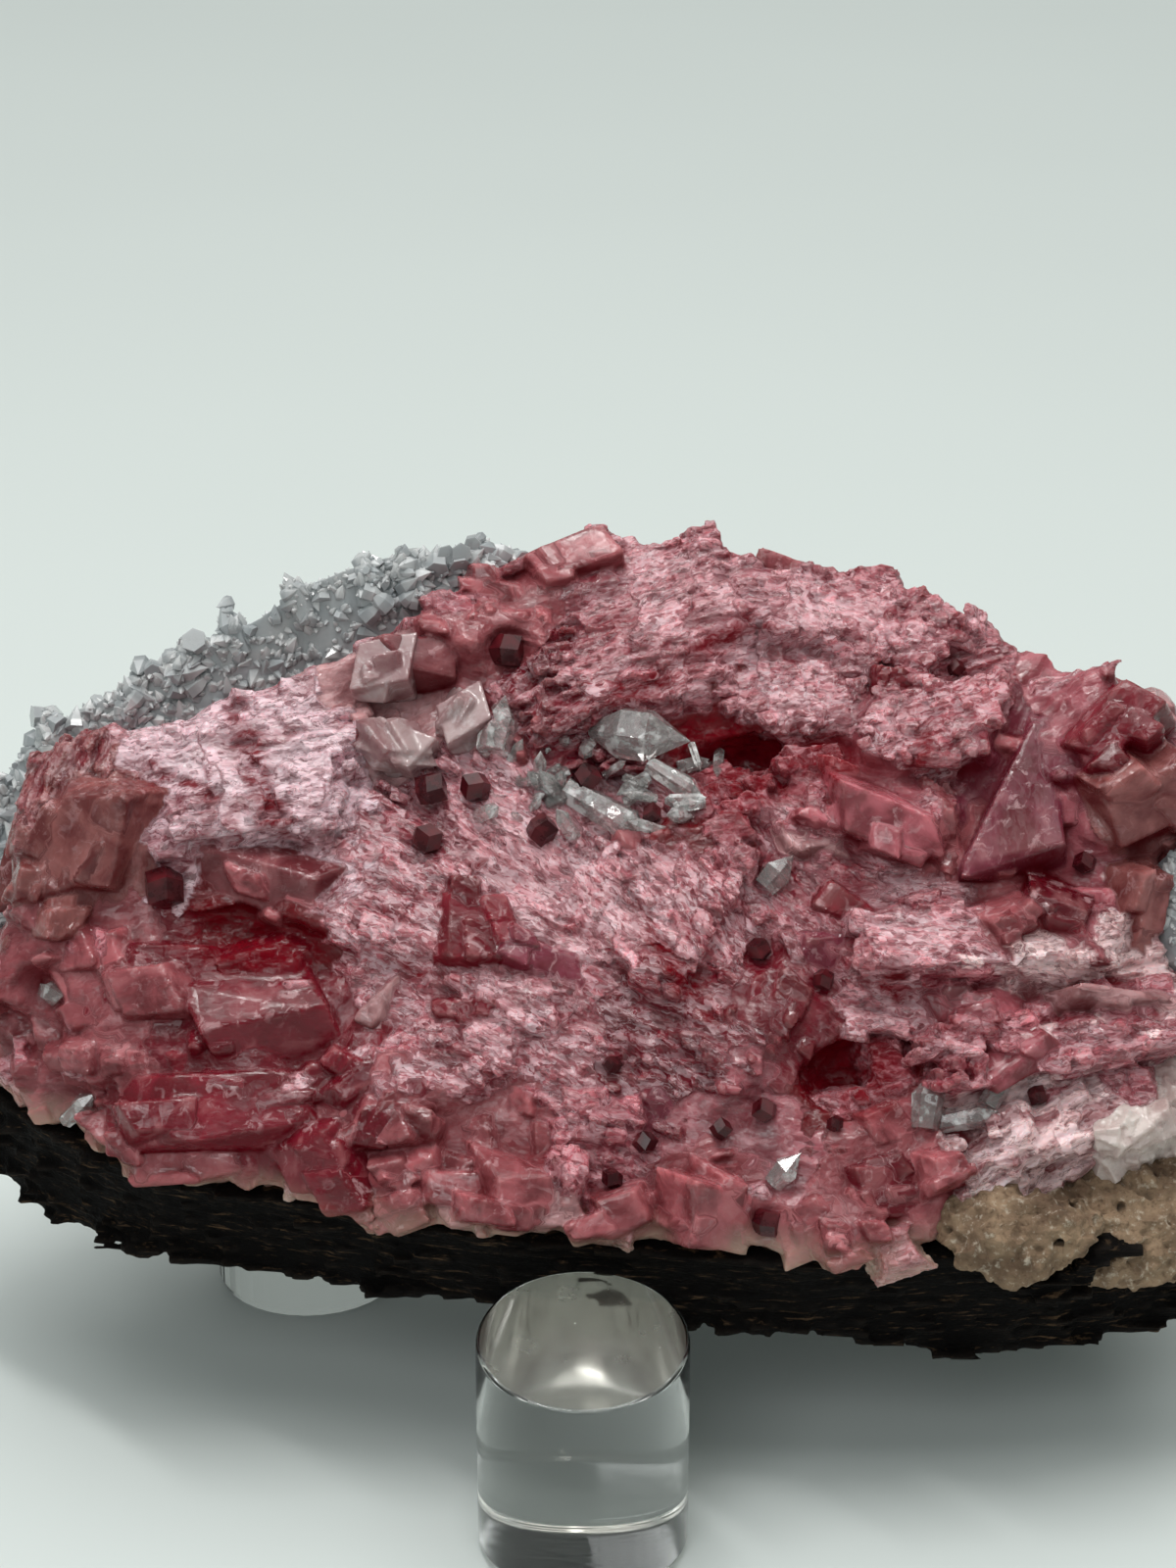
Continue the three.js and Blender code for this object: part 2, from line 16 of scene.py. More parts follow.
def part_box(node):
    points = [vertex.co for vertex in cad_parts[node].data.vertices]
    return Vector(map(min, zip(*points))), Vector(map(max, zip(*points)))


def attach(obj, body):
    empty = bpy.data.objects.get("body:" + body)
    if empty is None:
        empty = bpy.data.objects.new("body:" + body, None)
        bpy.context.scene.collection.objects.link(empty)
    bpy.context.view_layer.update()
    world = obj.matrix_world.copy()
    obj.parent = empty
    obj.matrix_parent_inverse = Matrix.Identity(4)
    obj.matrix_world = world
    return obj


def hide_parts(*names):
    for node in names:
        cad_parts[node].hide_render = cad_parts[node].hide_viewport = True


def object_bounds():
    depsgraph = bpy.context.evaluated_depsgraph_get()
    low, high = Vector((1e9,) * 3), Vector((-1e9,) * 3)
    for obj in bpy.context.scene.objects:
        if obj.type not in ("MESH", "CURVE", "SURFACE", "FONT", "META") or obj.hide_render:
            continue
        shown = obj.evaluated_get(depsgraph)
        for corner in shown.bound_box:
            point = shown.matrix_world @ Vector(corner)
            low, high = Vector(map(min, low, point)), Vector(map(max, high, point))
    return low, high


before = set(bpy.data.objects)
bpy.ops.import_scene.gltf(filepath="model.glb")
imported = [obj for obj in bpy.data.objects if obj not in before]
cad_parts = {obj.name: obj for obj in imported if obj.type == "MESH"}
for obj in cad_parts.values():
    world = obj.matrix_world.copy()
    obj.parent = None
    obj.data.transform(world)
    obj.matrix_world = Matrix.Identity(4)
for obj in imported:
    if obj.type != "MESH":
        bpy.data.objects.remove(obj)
cad_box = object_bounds()

MM = 0.001


# ---- Colours and noise ----

def linear(colour):
    """An sRGB colour from 0 to 255 as linear values."""
    c = np.asarray(colour, float) / 255
    return np.where(c <= 0.04045, c / 12.92, ((c + 0.055) / 1.055) ** 2.4)


def rgba(colour):
    """The same as a material's colour, with full alpha."""
    return (*linear(colour), 1.0)


def lattice(cell, seed):
    """A pseudo-random value from 0 to 1 for each row of whole numbers."""
    primes = np.array([73856093, 19349663, 83492791], np.int64)
    mixed = (cell.astype(np.int64) * primes).sum(1) + seed * 2654435761
    mixed = (mixed ^ (mixed >> 13)) * 1274126177
    return ((mixed ^ (mixed >> 16)) & 0xFFFFF) / 0xFFFFF


def noise(points, size, seed=0):
    """Smooth noise from 0 to 1 with lumps of the given size, at each point."""
    p = points / size
    cell = np.floor(p)
    t = p - cell
    t = t * t * (3 - 2 * t)
    total = np.zeros(len(p))
    for corner in np.ndindex(2, 2, 2):
        weight = np.prod(np.where(corner, t, 1 - t), axis=1)
        total += weight * lattice(cell + corner, seed)
    return total


def nearest_cell(points, size, seed=0):
    """Distance to the nearest of scattered points, about one in each cell of the given size."""
    p = points / size
    cell = np.floor(p)
    best = np.full(len(p), 9.0)
    for step in np.ndindex(3, 3, 3):
        there = cell + np.array(step) - 1
        spot = there + np.stack([lattice(there, seed + k) for k in range(3)], 1)
        best = np.minimum(best, np.linalg.norm(spot - p, axis=1))
    return best * size


# ---- Meshes ----

def new_object(name, points, faces):
    """An object in the scene, from points in millimetres."""
    mesh = bpy.data.meshes.new(name)
    mesh.from_pydata((np.asarray(points) * MM).tolist(), [], np.asarray(faces).tolist())
    obj = bpy.data.objects.new(name, mesh)
    bpy.context.scene.collection.objects.link(obj)
    return obj


def points_of(obj):
    """A mesh's points, in millimetres."""
    co = np.empty(len(obj.data.vertices) * 3, np.float32)
    obj.data.vertices.foreach_get("co", co)
    return co.reshape(-1, 3).astype(float) / MM


def normals_of(obj):
    """The normal at each point of a mesh."""
    co = np.empty(len(obj.data.vertices) * 3, np.float32)
    obj.data.vertex_normals.foreach_get("vector", co)
    return co.reshape(-1, 3).astype(float)


def move_points(obj, points):
    """Puts a mesh's points in new places, given in millimetres."""
    obj.data.vertices.foreach_set("co", (points * MM).astype(np.float32).ravel())
    obj.data.update()


def applied(obj):
    """Replaces an object's mesh by what its modifiers make of it."""
    depsgraph = bpy.context.evaluated_depsgraph_get()
    mesh = bpy.data.meshes.new_from_object(obj.evaluated_get(depsgraph))
    obj.modifiers.clear()
    obj.data = mesh
    return obj


def triangles_of(obj):
    """The point numbers of each triangle of a mesh."""
    obj.data.calc_loop_triangles()
    tris = np.empty(len(obj.data.loop_triangles) * 3, np.int32)
    obj.data.loop_triangles.foreach_get("vertices", tris)
    return tris.reshape(-1, 3)


def cad(node):
    """A CAD node's points in millimetres, and its triangles."""
    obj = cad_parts[node]
    return points_of(obj), triangles_of(obj)


def together(parts):
    """Joins (points, faces) pairs that all have faces of one kind."""
    offset = np.cumsum([0] + [len(points) for points, _ in parts])
    faces = [faces + start for (_, faces), start in zip(parts, offset)]
    return np.concatenate([points for points, _ in parts]), np.concatenate(faces)


def fused(name, parts, voxel):
    """One closed skin round overlapping closed parts."""
    points, faces = together(parts)
    obj = new_object(name, points, faces)
    remesh = obj.modifiers.new("skin", "REMESH")
    remesh.mode = "VOXEL"
    remesh.voxel_size = voxel * MM * 1
    return applied(obj)


def thinned(obj, most):
    """Reduces a mesh to a number of triangles, where it is flattest first."""
    count = len(triangles_of(obj))
    if count > most:
        thin = obj.modifiers.new("thin", "DECIMATE")
        thin.ratio = most / count
        thin.use_collapse_triangulate = True
        applied(obj)
    return obj


LEAN = 0.22  # sideways shear of a cleavage block
BOX_POINTS = np.array([[x, y, z] for x in (-1, 1) for y in (-1, 1) for z in (-1, 1)], float) / 2
BOX_TRIANGLES = np.array(
    [[0, 1, 3], [0, 3, 2], [4, 6, 7], [4, 7, 5], [0, 4, 5], [0, 5, 1]]
    + [[2, 3, 7], [2, 7, 6], [0, 2, 6], [0, 6, 4], [1, 5, 7], [1, 7, 3]]
)


def blocks(centres, axes, sizes, lean=0.0, random=None):
    """Closed blocks: axes holds each one's three unit vectors as rows, lean shears its length.

    With a random source, each block tapers outwards along its second axis and is a little uneven.
    """
    local = BOX_POINTS[None] * sizes[:, None]
    if random is not None:
        outer = BOX_POINTS[:, 1] > 0
        taper = random.uniform(0.45, 0.95, (len(sizes), 1, 2))
        aside = random.uniform(-0.12, 0.12, (len(sizes), 1, 2)) * sizes[:, None, [0, 2]]
        flat = local[:, :, [0, 2]]
        flat[:, outer] = flat[:, outer] * taper + aside
        local[:, :, [0, 2]] = flat
        local += random.normal(0, 0.045, local.shape) * sizes[:, None] * [1, 0.5, 1]
    local[:, :, 0] += lean * local[:, :, 2]
    points = np.einsum("bvi,bij->bvj", local, axes) + centres[:, None]
    faces = BOX_TRIANGLES[None] + 8 * np.arange(len(centres))[:, None, None]
    return points.reshape(-1, 3), faces.reshape(-1, 3)


def hull(points):
    """The closed hull of a few points: points, triangles."""
    shape = bmesh.new()
    for point in points:
        shape.verts.new(point)
    made = bmesh.ops.convex_hull(shape, input=shape.verts)
    spare = made["geom_interior"] + made["geom_unused"]
    inner = {item for item in spare if isinstance(item, bmesh.types.BMVert)}
    bmesh.ops.delete(shape, geom=list(inner), context="VERTS")
    bmesh.ops.triangulate(shape, faces=shape.faces)
    shape.verts.index_update()
    corners = np.array([vert.co[:] for vert in shape.verts])
    faces = np.array([[vert.index for vert in face.verts] for face in shape.faces])
    shape.free()
    return corners, faces


def faceted(centre, axes, size, point, random):
    """One closed crystal: a leaning rhomb that tapers outwards, with each corner broken its own way.

    point says how far its upper end narrows, from 0 to 1.
    """
    corners = BOX_POINTS * size
    corners[BOX_POINTS[:, 0] > 0] *= [1.0, 1 - 0.4 * point, 1 - 0.85 * point]
    outer = BOX_POINTS[:, 1] > 0
    corners[outer] *= [random.uniform(0.4, 0.95), 1.0, random.uniform(0.4, 0.95)]
    corners += random.normal(0, 0.06, corners.shape) * size * [1, 0.5, 1]
    corners[:, 0] += LEAN * corners[:, 2]
    broken = np.repeat(corners, 3, axis=0)
    axis = np.tile(np.arange(3), len(corners))
    broken[np.arange(len(broken)), axis] *= 1 - random.uniform(0.04, 0.55, len(broken)) ** 1.5
    points, faces = hull(broken)
    return points @ axes + centre, faces


def quartz_points(centres, directions, widths, lengths, turns):
    """Closed six-sided prisms with a pointed end, one along each direction."""
    angle = np.arange(6) * math.pi / 3
    side = np.cross(directions, [0.31, 0.2, 0.93])
    side /= np.linalg.norm(side, axis=1, keepdims=True)
    other = np.cross(directions, side)
    a = angle[None] + turns[:, None]
    ring = np.cos(a)[..., None] * side[:, None] + np.sin(a)[..., None] * other[:, None]
    ring = ring * (widths / 2)[:, None, None]
    shoulder = (lengths - 0.8 * widths)[:, None, None] * directions[:, None]
    low = centres[:, None] + ring
    high = centres[:, None] + ring * 0.92 + shoulder
    tip = (centres + lengths[:, None] * directions)[:, None]
    points = np.concatenate([low, high, tip, centres[:, None]], axis=1)
    faces = []
    for i in range(6):
        j = (i + 1) % 6
        faces += [[i, j, 6 + j], [i, 6 + j, 6 + i], [6 + i, 6 + j, 12], [j, i, 13]]
    faces = np.array(faces)[None] + 14 * np.arange(len(centres))[:, None, None]
    return points.reshape(-1, 3), faces.reshape(-1, 3)


def scattered(points, triangles, count, random):
    """Random places on a mesh, even over its area: points, normals."""
    a, b, c = (points[triangles[:, k]] for k in range(3))
    cross = np.cross(b - a, c - a)
    area = np.linalg.norm(cross, axis=1)
    pick = random.choice(len(triangles), count, p=area / area.sum())
    u, v = random.random((2, count))
    u, v = np.where(u + v > 1, 1 - u, u), np.where(u + v > 1, 1 - v, v)
    spot = a[pick] + u[:, None] * (b - a)[pick] + v[:, None] * (c - a)[pick]
    return spot, (cross / area[:, None])[pick]


def give(obj, name, values):
    """Stores one value, or one vector, for each point of a mesh."""
    kind = "FLOAT" if values.ndim == 1 else "FLOAT_VECTOR"
    field = "value" if values.ndim == 1 else "vector"
    attribute = obj.data.attributes.new(name, kind, "POINT")
    attribute.data.foreach_set(field, values.astype(np.float32).ravel())


def smoothed(obj, passes):
    """A mesh's points once it is smoothed."""
    points = points_of(obj)
    edges = np.empty(len(obj.data.edges) * 2, np.int32)
    obj.data.edges.foreach_get("vertices", edges)
    a, b = edges.reshape(-1, 2).T
    ends, others = np.concatenate([a, b]), np.concatenate([b, a])
    count = np.maximum(np.bincount(ends, minlength=len(points)), 1)[:, None]
    smooth = points
    for _ in range(passes):
        total = [np.bincount(ends, smooth[others, k], len(points)) for k in range(3)]
        smooth = 0.5 * smooth + 0.5 * np.stack(total, 1) / count
    return smooth


def relief(obj, passes):
    """How far each point stands out of the mesh once that is smoothed, in millimetres."""
    return ((points_of(obj) - smoothed(obj, passes)) * normals_of(obj)).sum(1)


# ---- Materials ----

class Nodes:
    """A material's node tree, with short ways to add what the materials here share."""

    def __init__(self, name):
        self.material = bpy.data.materials.new(name)
        self.material.use_nodes = True
        self.tree = self.material.node_tree
        self.shader = self.tree.nodes["Principled BSDF"]

    def add(self, kind, **settings):
        """A new node of a kind, with its settings."""
        node = self.tree.nodes.new("ShaderNode" + kind)
        for key, value in settings.items():
            setattr(node, key, value)
        return node

    def link(self, source, target):
        self.tree.links.new(source, target)

    def put(self, socket, value):
        """Links a value that varies, or sets one that doesn't."""
        if isinstance(value, bpy.types.NodeSocket):
            self.link(value, socket)
        else:
            socket.default_value = value

    def set(self, **values):
        """Sets sockets of the shader, by name."""
        for key, value in values.items():
            self.put(self.shader.inputs[key.replace("_", " ")], value)

    def stored(self, name, output="Fac"):
        """A value stored for each point of the mesh."""
        return self.add("Attribute", attribute_name=name).outputs[output]

    def place(self):
        """The object's own coordinates, in metres."""
        return self.add("TexCoord").outputs["Object"]

    def math(self, operation, a, b=0.0):
        """A sum done on one or two values."""
        node = self.add("Math", operation=operation)
        self.put(node.inputs[0], a)
        self.put(node.inputs[1], b)
        return node.outputs[0]

    def stretched(self, vector, scale):
        """A vector scaled along each axis."""
        node = self.add("VectorMath", operation="MULTIPLY")
        self.link(vector, node.inputs[0])
        node.inputs[1].default_value = scale
        return node.outputs[0]

    def noise(self, vector, scale, detail=4.0, rough=0.6, distortion=0.0):
        """Smooth noise, about 0.5 in the middle."""
        node = self.add("TexNoise")
        self.link(vector, node.inputs["Vector"])
        node.inputs["Scale"].default_value = scale
        node.inputs["Detail"].default_value = detail
        node.inputs["Roughness"].default_value = rough
        node.inputs["Distortion"].default_value = distortion
        return node.outputs["Fac"]

    def cells(self, vector, scale, output="Distance"):
        """Cells round scattered points: the distance to the point, or a colour for each cell."""
        node = self.add("TexVoronoi")
        self.link(vector, node.inputs["Vector"])
        node.inputs["Scale"].default_value = scale
        return node.outputs[output]

    def vector_math(self, operation, a, b):
        node = self.add("VectorMath", operation=operation)
        self.put(node.inputs[0], a)
        self.put(node.inputs[1], b)
        return node.outputs[0]

    def bent(self, vector, scale, amount):
        """A vector pushed about by noise, so that what is drawn along it wanders."""
        node = self.add("TexNoise")
        self.link(vector, node.inputs["Vector"])
        node.inputs["Scale"].default_value = scale
        push = self.vector_math("SUBTRACT", node.outputs["Color"], (0.5, 0.5, 0.5))
        return self.vector_math("ADD", vector, self.stretched(push, (amount,) * 3))

    def tilted(self, share, *facets):
        """The surface's normal, tilted its own way within each cell of the given patterns."""
        normal = self.add("NewGeometry").outputs["Normal"]
        for colour, amount in facets:
            lean = self.vector_math("SUBTRACT", colour, (0.5, 0.5, 0.5))
            scaled = self.add("VectorMath", operation="SCALE")
            self.link(lean, scaled.inputs[0])
            self.put(scaled.inputs["Scale"], self.math("MULTIPLY", share, amount))
            normal = self.vector_math("ADD", normal, scaled.outputs[0])
        node = self.add("VectorMath", operation="NORMALIZE")
        self.link(normal, node.inputs[0])
        return node.outputs[0]

    def line(self, value, middle, width):
        """1 where a value passes a level, falling to 0 within the width on both sides."""
        away = self.math("ABSOLUTE", self.math("SUBTRACT", value, middle))
        return self.between(away, 0.0, width, 1.0, 0.0)

    def between(self, value, low, high, to_low=0.0, to_high=1.0):
        """A value mapped in a straight line from one span to another, and held at its ends."""
        node = self.add("MapRange")
        self.link(value, node.inputs[0])
        for socket, number in zip(list(node.inputs)[1:5], (low, high, to_low, to_high)):
            socket.default_value = number
        return node.outputs[0]

    def mixed(self, share, first, second, blend="MIX"):
        """Two colours mixed; a share of 1 is all the second."""
        node = self.add("Mix", data_type="RGBA", blend_type=blend)
        for socket, value in zip((node.inputs[0], node.inputs[6], node.inputs[7]), (share, first, second)):
            self.put(socket, value)
        return node.outputs[2]

    def bump(self, height, distance, strength=1.0, under=None):
        """A normal bumped by a height; the distance is in millimetres."""
        node = self.add("Bump")
        self.link(height, node.inputs["Height"])
        node.inputs["Distance"].default_value = distance * MM
        node.inputs["Strength"].default_value = strength
        if under:
            self.link(under, node.inputs["Normal"])
        return node.outputs[0]


def rhodochrosite():
    """Pink carbonate: silky ground with white threads and red cracks, and glassy cleaved crystals; painted
    sheen on the ground and on up-facing crystal faces, a painted highlight on raised edges, painted shade
    in recesses and under down-facing faces, and a deeper red in the hollows that is partly painted shade.
    """
    n = Nodes("rhodochrosite")
    grain, hue = n.stored("grain", "Vector"), n.stored("hue", "Vector")
    silk, glass = n.stored("silk"), n.stored("glass")
    warped = n.bent(grain, 0.45, 1.6)
    long = n.stretched(warped, (0.38, 1.0, 1.0))
    fleck, cloud = n.noise(long, 0.9, 6.0, 0.66, 0.7), n.noise(long, 0.17, 4.0, 0.62, 0.8)
    thread = n.noise(n.stretched(warped, (0.22, 1.0, 1.0)), 0.55, 5.0, 0.6, 0.6)
    flake, chip = n.cells(long, 0.8, output="Color"), n.cells(long, 2.2, output="Color")
    # red for the cracks; white for the threads and for the painted sheen
    red, white = rgba((96, 14, 30)), rgba((238, 206, 214))

    cleft = n.math("ADD", fleck, n.math("MULTIPLY", n.math("SUBTRACT", chip, 0.5), 0.5))
    ground = n.mixed(n.between(cloud, 0.5, 0.4, 0.0, 0.8), hue, rgba((122, 18, 38)))
    ground = n.mixed(n.between(cleft, 0.44, 0.36, 0.0, 0.55), ground, red)
    # Painted sheen: pale patches on the silky ground where cleavage flakes would catch the light, more the
    # silkier the zone; the white threads with them are the stone's own.
    patch = n.math("MULTIPLY", n.between(cleft, 0.52, 0.6), n.between(cloud, 0.4, 0.6, 0.1, 0.68))
    lines = n.math("MULTIPLY", n.line(thread, 0.52, 0.018), n.between(cloud, 0.34, 0.5, 0.2, 0.8))
    ground = n.mixed(n.math("MULTIPLY", n.math("MAXIMUM", patch, lines), silk), ground, white)
    ground = n.mixed(n.line(thread, 0.43, 0.014), ground, red)
    ground = n.mixed(1.0, ground, n.between(flake, 0.3, 0.7, 0.86, 1.12), "MULTIPLY")

    veil, scratch = n.noise(grain, 0.2, 4.0, 0.55, 0.6), n.noise(warped, 0.5, 6.0, 0.62, 1.0)
    clear = n.mixed(n.between(veil, 0.42, 0.62, 0.0, 0.7), hue, rgba((84, 8, 18)))
    clear = n.mixed(n.between(veil, 0.42, 0.3, 0.0, 0.3), clear, rgba((204, 140, 142)))
    # Painted sheen: pale scratchy patches on the glassy crystals, faint on every face and strongest on
    # faces that turn up to the light.
    worn = n.between(cloud, 0.4, 0.55, 0.15, 1.0)
    worn = n.math("MULTIPLY", n.between(scratch, 0.55, 0.63, 0.0, 0.5), worn)
    worn = n.math("MULTIPLY", worn, n.between(n.stored("frost"), 0.0, 0.4, 0.25, 0.9))
    clear = n.mixed(worn, clear, rgba((220, 180, 184)))

    painted_shade = n.stored("painted_shade")
    colour = n.mixed(glass, ground, clear)
    # Painted highlight: raised edges and thin rims a little paler.
    colour = n.mixed(n.math("MULTIPLY", n.stored("edge_highlight"), 0.15), colour, rgba((222, 166, 164)))
    # Painted shade: dark red in recesses and under glassy faces that turn down.
    colour = n.mixed(n.math("MULTIPLY", painted_shade, 0.9), colour, rgba((84, 3, 12)))
    # The hollows and cracks: a deeper red, partly the crystal's own and partly painted shade.
    hollow = n.math("MULTIPLY", n.stored("hollow"), n.between(fleck, 0.4, 0.58, 0.95, 0.35))
    colour = n.mixed(hollow, colour, rgba((116, 8, 22)))
    cream = n.math("MULTIPLY", n.stored("cream"), n.between(veil, 0.38, 0.6, 0.45, 0.9))
    colour = n.mixed(cream, colour, rgba((192, 164, 146)))
    shut = n.math("MAXIMUM", painted_shade, hollow)
    rough = n.math("ADD", n.between(chip, 0.0, 1.0, 0.16, 0.42), n.math("MULTIPLY", glass, -0.08))
    facets = n.tilted(n.between(glass, 0.0, 1.0, 1.0, 0.15), (flake, 0.55), (chip, 0.45))
    height = n.math("MULTIPLY", fleck, n.between(glass, 0.0, 1.0, 1.0, 0.12))
    open_glass = n.math("MULTIPLY", glass, n.between(shut, 0.0, 0.6, 0.16, 0.0))
    shine = n.math("MULTIPLY", n.between(shut, 0.0, 0.8, 1.0, 0.06), n.between(silk, 0.2, 1.0, 0.3, 0.75))
    n.set(Base_Color=colour, Roughness=rough, IOR=1.6, Normal=n.bump(height, 0.3, 0.6, facets))
    n.set(Specular_IOR_Level=shine, Coat_Weight=open_glass, Coat_Roughness=0.08)
    n.set(Subsurface_Weight=0.4, Subsurface_Scale=2.0 * MM, Subsurface_Radius=(1.0, 0.35, 0.35))
    return n.material


def quartz_crust():
    """Grey glassy quartz: pale at the tips, and dark with painted shade down in the gaps."""
    n = Nodes("druse_quartz")
    place = n.place()
    tip, tint = n.stored("tip"), n.stored("tint")
    cloud = n.noise(place, 260.0, 4.0)
    colour = n.mixed(n.between(tint, 0.3, 0.7), rgba((172, 177, 180)), rgba((220, 222, 223)))
    colour = n.mixed(n.between(cloud, 0.4, 0.7, 0.0, 0.5), colour, rgba((216, 212, 210)))
    # Painted shade: darker towards each point's root, down in the gaps.
    colour = n.mixed(n.between(tip, 0.2, 0.7, 0.7, 0.0), colour, rgba((138, 143, 146)))
    n.set(Base_Color=colour, IOR=1.54, Roughness=n.between(cloud, 0.3, 0.7, 0.08, 0.3))
    n.set(Subsurface_Weight=0.3, Subsurface_Scale=1.2 * MM, Subsurface_Radius=(1.0, 1.0, 1.0))
    n.set(Coat_Weight=0.6, Coat_Roughness=0.05, Normal=n.bump(n.noise(place, 1500.0, 2.0), 0.04, 0.4))
    return n.material


def slate_stone():
    """Near-black slate with brown flecks drawn out along its bedding, and grey painted highlight on its
    raised edges.
    """
    n = Nodes("slate")
    bed = n.stored("bed", "Vector")
    flecks = n.noise(n.stretched(bed, (0.25, 0.4, 2.2)), 0.9, 6.0, 0.72)
    grit = n.noise(n.stretched(bed, (0.6, 0.8, 1.6)), 3.0, 4.0)
    colour = n.mixed(n.between(grit, 0.35, 0.7), rgba((5, 4, 4)), rgba((13, 10, 9)))
    colour = n.mixed(n.between(flecks, 0.57, 0.68, 0.0, 0.6), colour, rgba((112, 88, 66)))
    # Painted highlight: raised edges a little lighter.
    colour = n.mixed(n.math("MULTIPLY", n.stored("edge_highlight"), 0.15), colour, rgba((70, 60, 52)))
    height = n.math("ADD", flecks, grit)
    n.set(Base_Color=colour, Roughness=n.between(grit, 0.3, 0.7, 0.5, 0.85))
    n.set(Specular_IOR_Level=0.08, Normal=n.bump(height, 0.3, 0.8))
    return n.material


def weathered_crust():
    """Tan granular crust with small pale and pink grains, and painted shade that darkens its pits."""
    n = Nodes("weathered_crust")
    place = n.place()
    grit = n.noise(place, 900.0, 5.0, 0.7)
    patch = n.noise(place, 190.0, 4.0, 0.6)
    colour = n.mixed(n.between(patch, 0.35, 0.65), rgba((102, 81, 64)), rgba((156, 131, 106)))
    colour = n.mixed(n.between(grit, 0.55, 0.72, 0.0, 0.7), colour, rgba((218, 206, 188)))
    colour = n.mixed(n.between(grit, 0.44, 0.3, 0.0, 0.7), colour, rgba((74, 52, 38)))
    # Painted shade: near black in the pits and hollows.
    colour = n.mixed(n.stored("painted_shade"), colour, rgba((22, 15, 12)))
    n.set(Base_Color=colour, Roughness=0.85, Specular_IOR_Level=0.3, Normal=n.bump(grit, 0.35, 0.8))
    return n.material


def milky_stone():
    """Milky quartz: white, with faint rose and grey clouds, between sugary and glassy."""
    n = Nodes("milky_quartz")
    place = n.place()
    cloud, sugar = n.noise(place, 230.0, 5.0), n.noise(place, 1300.0, 3.0)
    colour = n.mixed(n.between(cloud, 0.35, 0.65), rgba((226, 212, 206)), rgba((188, 164, 160)))
    n.set(Base_Color=colour, Roughness=n.between(sugar, 0.3, 0.7, 0.15, 0.5), IOR=1.54)
    n.set(Subsurface_Weight=0.5, Subsurface_Scale=2.0 * MM, Subsurface_Radius=(1.0, 0.9, 0.85))
    n.set(Coat_Weight=0.4, Coat_Roughness=0.08, Normal=n.bump(sugar, 0.1, 0.6))
    return n.material


def garnet_stone():
    """Dark wine-red garnet, glassy, with a few paler growth patches."""
    n = Nodes("garnet")
    cloud = n.noise(n.place(), 420.0, 4.0)
    colour = n.mixed(n.between(cloud, 0.4, 0.7), rgba((52, 5, 12)), rgba((96, 22, 30)))
    n.set(Base_Color=colour, Roughness=n.between(cloud, 0.3, 0.7, 0.2, 0.38), IOR=1.5)
    n.set(Specular_IOR_Level=0.4, Normal=n.bump(cloud, 0.08, 0.4))
    n.set(Subsurface_Weight=0.2, Subsurface_Scale=1.0 * MM, Subsurface_Radius=(1.0, 0.2, 0.2))
    return n.material


def clear_quartz():
    """Water-clear quartz with bright fractures inside and growth faces that each catch the light."""
    n = Nodes("clear_quartz")
    place = n.place()
    ridges, face = n.noise(place, 900.0, 3.0), n.cells(place, 620.0, output="Color")
    fracture = n.between(n.noise(place, 460.0, 3.0, 0.6, 0.2), 0.5, 0.64)
    facets = n.tilted(n.between(ridges, 0.3, 0.7, 0.1, 0.5), (face, 0.6))
    n.set(Base_Color=n.mixed(fracture, rgba((236, 232, 230)), rgba((255, 255, 255))), IOR=1.54)
    n.set(Transmission_Weight=n.between(fracture, 0.0, 1.0, 0.85, 0.5))
    n.set(Roughness=n.between(ridges, 0.3, 0.7, 0.0, 0.08), Coat_Weight=1.0, Coat_Roughness=0.02)
    n.set(Normal=n.bump(ridges, 0.05, 0.3, facets))
    return n.material


def pale_crystal():
    """Greyish rose rhombs, translucent, clouded inside and frosted in patches."""
    n = Nodes("pale_rhomb")
    bent = n.bent(n.place(), 160.0, 6 * MM)
    cloud, frost = n.noise(bent, 150.0, 5.0, 0.6), n.noise(bent, 420.0, 5.0, 0.66)
    colour = n.mixed(n.between(cloud, 0.38, 0.62), rgba((196, 168, 168)), rgba((148, 98, 102)))
    colour = n.mixed(n.between(frost, 0.54, 0.66, 0.0, 0.6), colour, rgba((228, 214, 215)))
    n.set(Base_Color=colour, Roughness=n.between(cloud, 0.3, 0.7, 0.1, 0.3), IOR=1.6)
    n.set(Subsurface_Weight=0.5, Subsurface_Scale=2.0 * MM, Subsurface_Radius=(1.0, 0.7, 0.7))
    n.set(Transmission_Weight=0.2, Coat_Weight=0.3, Coat_Roughness=0.06, Normal=n.bump(frost, 0.12, 0.4))
    return n.material


def clear_acrylic():
    """Polished clear acrylic."""
    n = Nodes("acrylic")
    smear = n.noise(n.place(), 120.0, 3.0)
    n.set(Base_Color=rgba((250, 252, 250)), Transmission_Weight=1.0, IOR=1.49)
    n.set(Roughness=n.between(smear, 0.4, 0.8, 0.0, 0.06))
    return n.material


def cut_acrylic():
    """The cut top of the front peg: clear but not polished, tinted grey as painted shade under the slate.
    """
    n = Nodes("acrylic_cut")
    smear = n.noise(n.place(), 260.0, 4.0)
    # Painted shade: a grey tint on the top, which lies under the slate.
    n.set(Base_Color=rgba((152, 150, 139)), Transmission_Weight=0.84, IOR=1.49)
    n.set(Roughness=n.between(smear, 0.3, 0.7, 0.12, 0.3))
    return n.material


